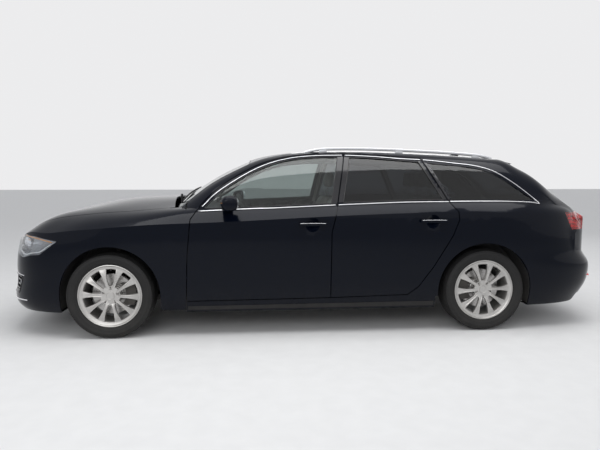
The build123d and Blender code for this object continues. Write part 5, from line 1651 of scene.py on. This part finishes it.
def carcass():
    """A tyre's body: bulged walls with fine rings, round shoulders, and grooves round the tread."""
    wall = [(0.2215, 0.0790), (0.2330, 0.0855), (0.2395, 0.0925), (0.2425, 0.0985), (0.2455, 0.1015),
            (0.2475, 0.1015), (0.2500, 0.1035), (0.2600, 0.1085), (0.2610, 0.1094), (0.2640, 0.1096),
            (0.2650, 0.1090), (0.2750, 0.1115), (0.2860, 0.1123), (0.2870, 0.1127), (0.2890, 0.1127),
            (0.2900, 0.1120), (0.3000, 0.1098), (0.3080, 0.1060), (0.3140, 0.1000), (0.3175, 0.0930),
            (0.3185, 0.0860)]
    outer = [(r, -(TYRE_MIDDLE + w)) for r, w in wall]
    inner = [(r, -(TYRE_MIDDLE - w)) for r, w in reversed(wall)]
    return mesh_from(spun([*outer, *inner], 144), "carcass", math.radians(40))


def tread():
    """One pitch of tread blocks, repeated round the tyre."""
    pitch = 2 * math.pi / TREAD_PITCHES
    ribs = [(-0.1085, -0.0700, 0.10, 0.018), (-0.0620, -0.0290, -0.12, 0.010), (-0.0210, 0.0210, 0.06, 0.006),
            (0.0290, 0.0620, 0.12, 0.010), (0.0700, 0.1085, -0.10, 0.018)]
    blocks = []
    for low, high, slant, gap in ribs:
        ends = []
        for y in (low, high):
            turn = slant * (y - (low + high) / 2) / TREAD_RADIUS * 6
            drop = 0.011 * max(0.0, (abs(y) - 0.086) / 0.0225)**2
            ends.append([(r * math.cos(a), -(TYRE_MIDDLE + y), r * math.sin(a)) for r, a in
                         ((0.3160 - drop, turn), (0.3160 - drop, turn + pitch * (1 - gap * 5)),
                          (TREAD_RADIUS - 0.0001 - drop, turn + pitch * (1 - gap * 5)),
                          (TREAD_RADIUS - 0.0001 - drop, turn))])
        blocks.append(mesh_from(lofted(ends), "block"))
    unit = joined("pitch", blocks)
    return repeated(unit, "tyre", TREAD_PITCHES, turn=(0, pitch, 0))


def wheel(end, side):
    """One wheel: rim, bolts, cap, disc, valve and tyre."""
    body = f"wheel_{end}_{side}"
    parts = [numbered(mesh, index) for mesh, index in (
        (rim_ring(), 0), (spokes(), 0), (hub_face(), 0), (centre_cap(), 0), (lug(), 1), (brake_disc(), 2),
        (valve(), 3))]
    add_piece(f"alloy_wheel_{end}_{side}", to_wheel(joined("wheel", parts), end, side), body, "alloy",
              "alloy", "steel", "machined", "rubber_seal", replaces=[f"rim_{end}_{side}"])
    rubber = joined("rubber", [carcass(), tread()], math.radians(40))
    add_piece(f"treaded_tyre_{end}_{side}", to_wheel(rubber, end, side), body, "tyre", "tyre",
              replaces=[f"tyre_{end}_{side}"])


for wheel_end in ENDS:
    for wheel_side in SIDES:
        wheel(wheel_end, wheel_side)


# ---------------------------------------------------------------- camera, light and floor
def camera():
    """The car's left side, seen from standing height a little ahead of its middle."""
    data = bpy.data.cameras.new("camera")
    data.lens = 30.96
    data.sensor_width = 36.0
    stand = bpy.data.objects.new("camera", data)
    stand.location = (-0.43, -4.83, 1.20)
    stand.rotation_euler = (math.radians(85), 0, math.radians(-4.57))
    bpy.context.scene.collection.objects.link(stand)
    bpy.context.scene.camera = stand


def soft_light(name, place_at, target, size, power):
    """A large soft lamp at a point, turned towards another."""
    data = bpy.data.lights.new(name, "AREA")
    data.shape = "RECTANGLE"
    data.size, data.size_y = size
    data.energy = power
    lamp = bpy.data.objects.new(name, data)
    lamp.location = place_at
    lamp.rotation_euler = (Vector(target) - Vector(place_at)).to_track_quat("-Z", "Y").to_euler()
    bpy.context.scene.collection.objects.link(lamp)


def studio():
    """A pale floor, a pale surround and soft lamps overhead."""
    world = bpy.data.worlds.new("studio")
    world.use_nodes = True
    bpy.context.scene.world = world
    tree = world.node_tree
    background = tree.nodes["Background"]
    rays = place(tree, "ShaderNodeLightPath")
    seen = place(tree, "ShaderNodeMath", {0: rays.outputs["Is Camera Ray"], 1: rays.outputs["Is Glossy Ray"]},
                 operation="MAXIMUM")
    shown_by = place(tree, "ShaderNodeMath", {0: seen.outputs[0], 1: rays.outputs["Is Transmission Ray"]},
                     operation="MAXIMUM")
    tone = place(tree, "ShaderNodeMix", {"Factor": shown_by.outputs[0], 6: (0.62, 0.63, 0.65, 1),
                                         7: (0.84, 0.84, 0.85, 1)}, data_type="RGBA")
    tree.links.new(tone.outputs[2], background.inputs["Color"])
    floor = bmesh.new()
    bmesh.ops.create_grid(floor, x_segments=2, y_segments=2, size=60.0)
    sheet = shown("floor", mesh_from(floor, "floor"))
    sheet.data.materials.append(surface("pale_floor", (0.70, 0.70, 0.70), 0.75, scale=120.0, bump=0.02,
                                        vary=0.02))
    soft_light("overhead", (0.3, -1.2, 4.2), (0.1, 0, 0.8), (6.0, 2.4), 150)
    soft_light("near_side", (-2.5, -7.0, 3.4), (0, 0, 0.7), (5.0, 2.0), 110)
    soft_light("far_side", (2.5, 6.5, 3.6), (0, 0, 0.8), (5.0, 2.0), 80)
    bpy.context.scene.view_settings.view_transform = "Standard"


camera()
studio()
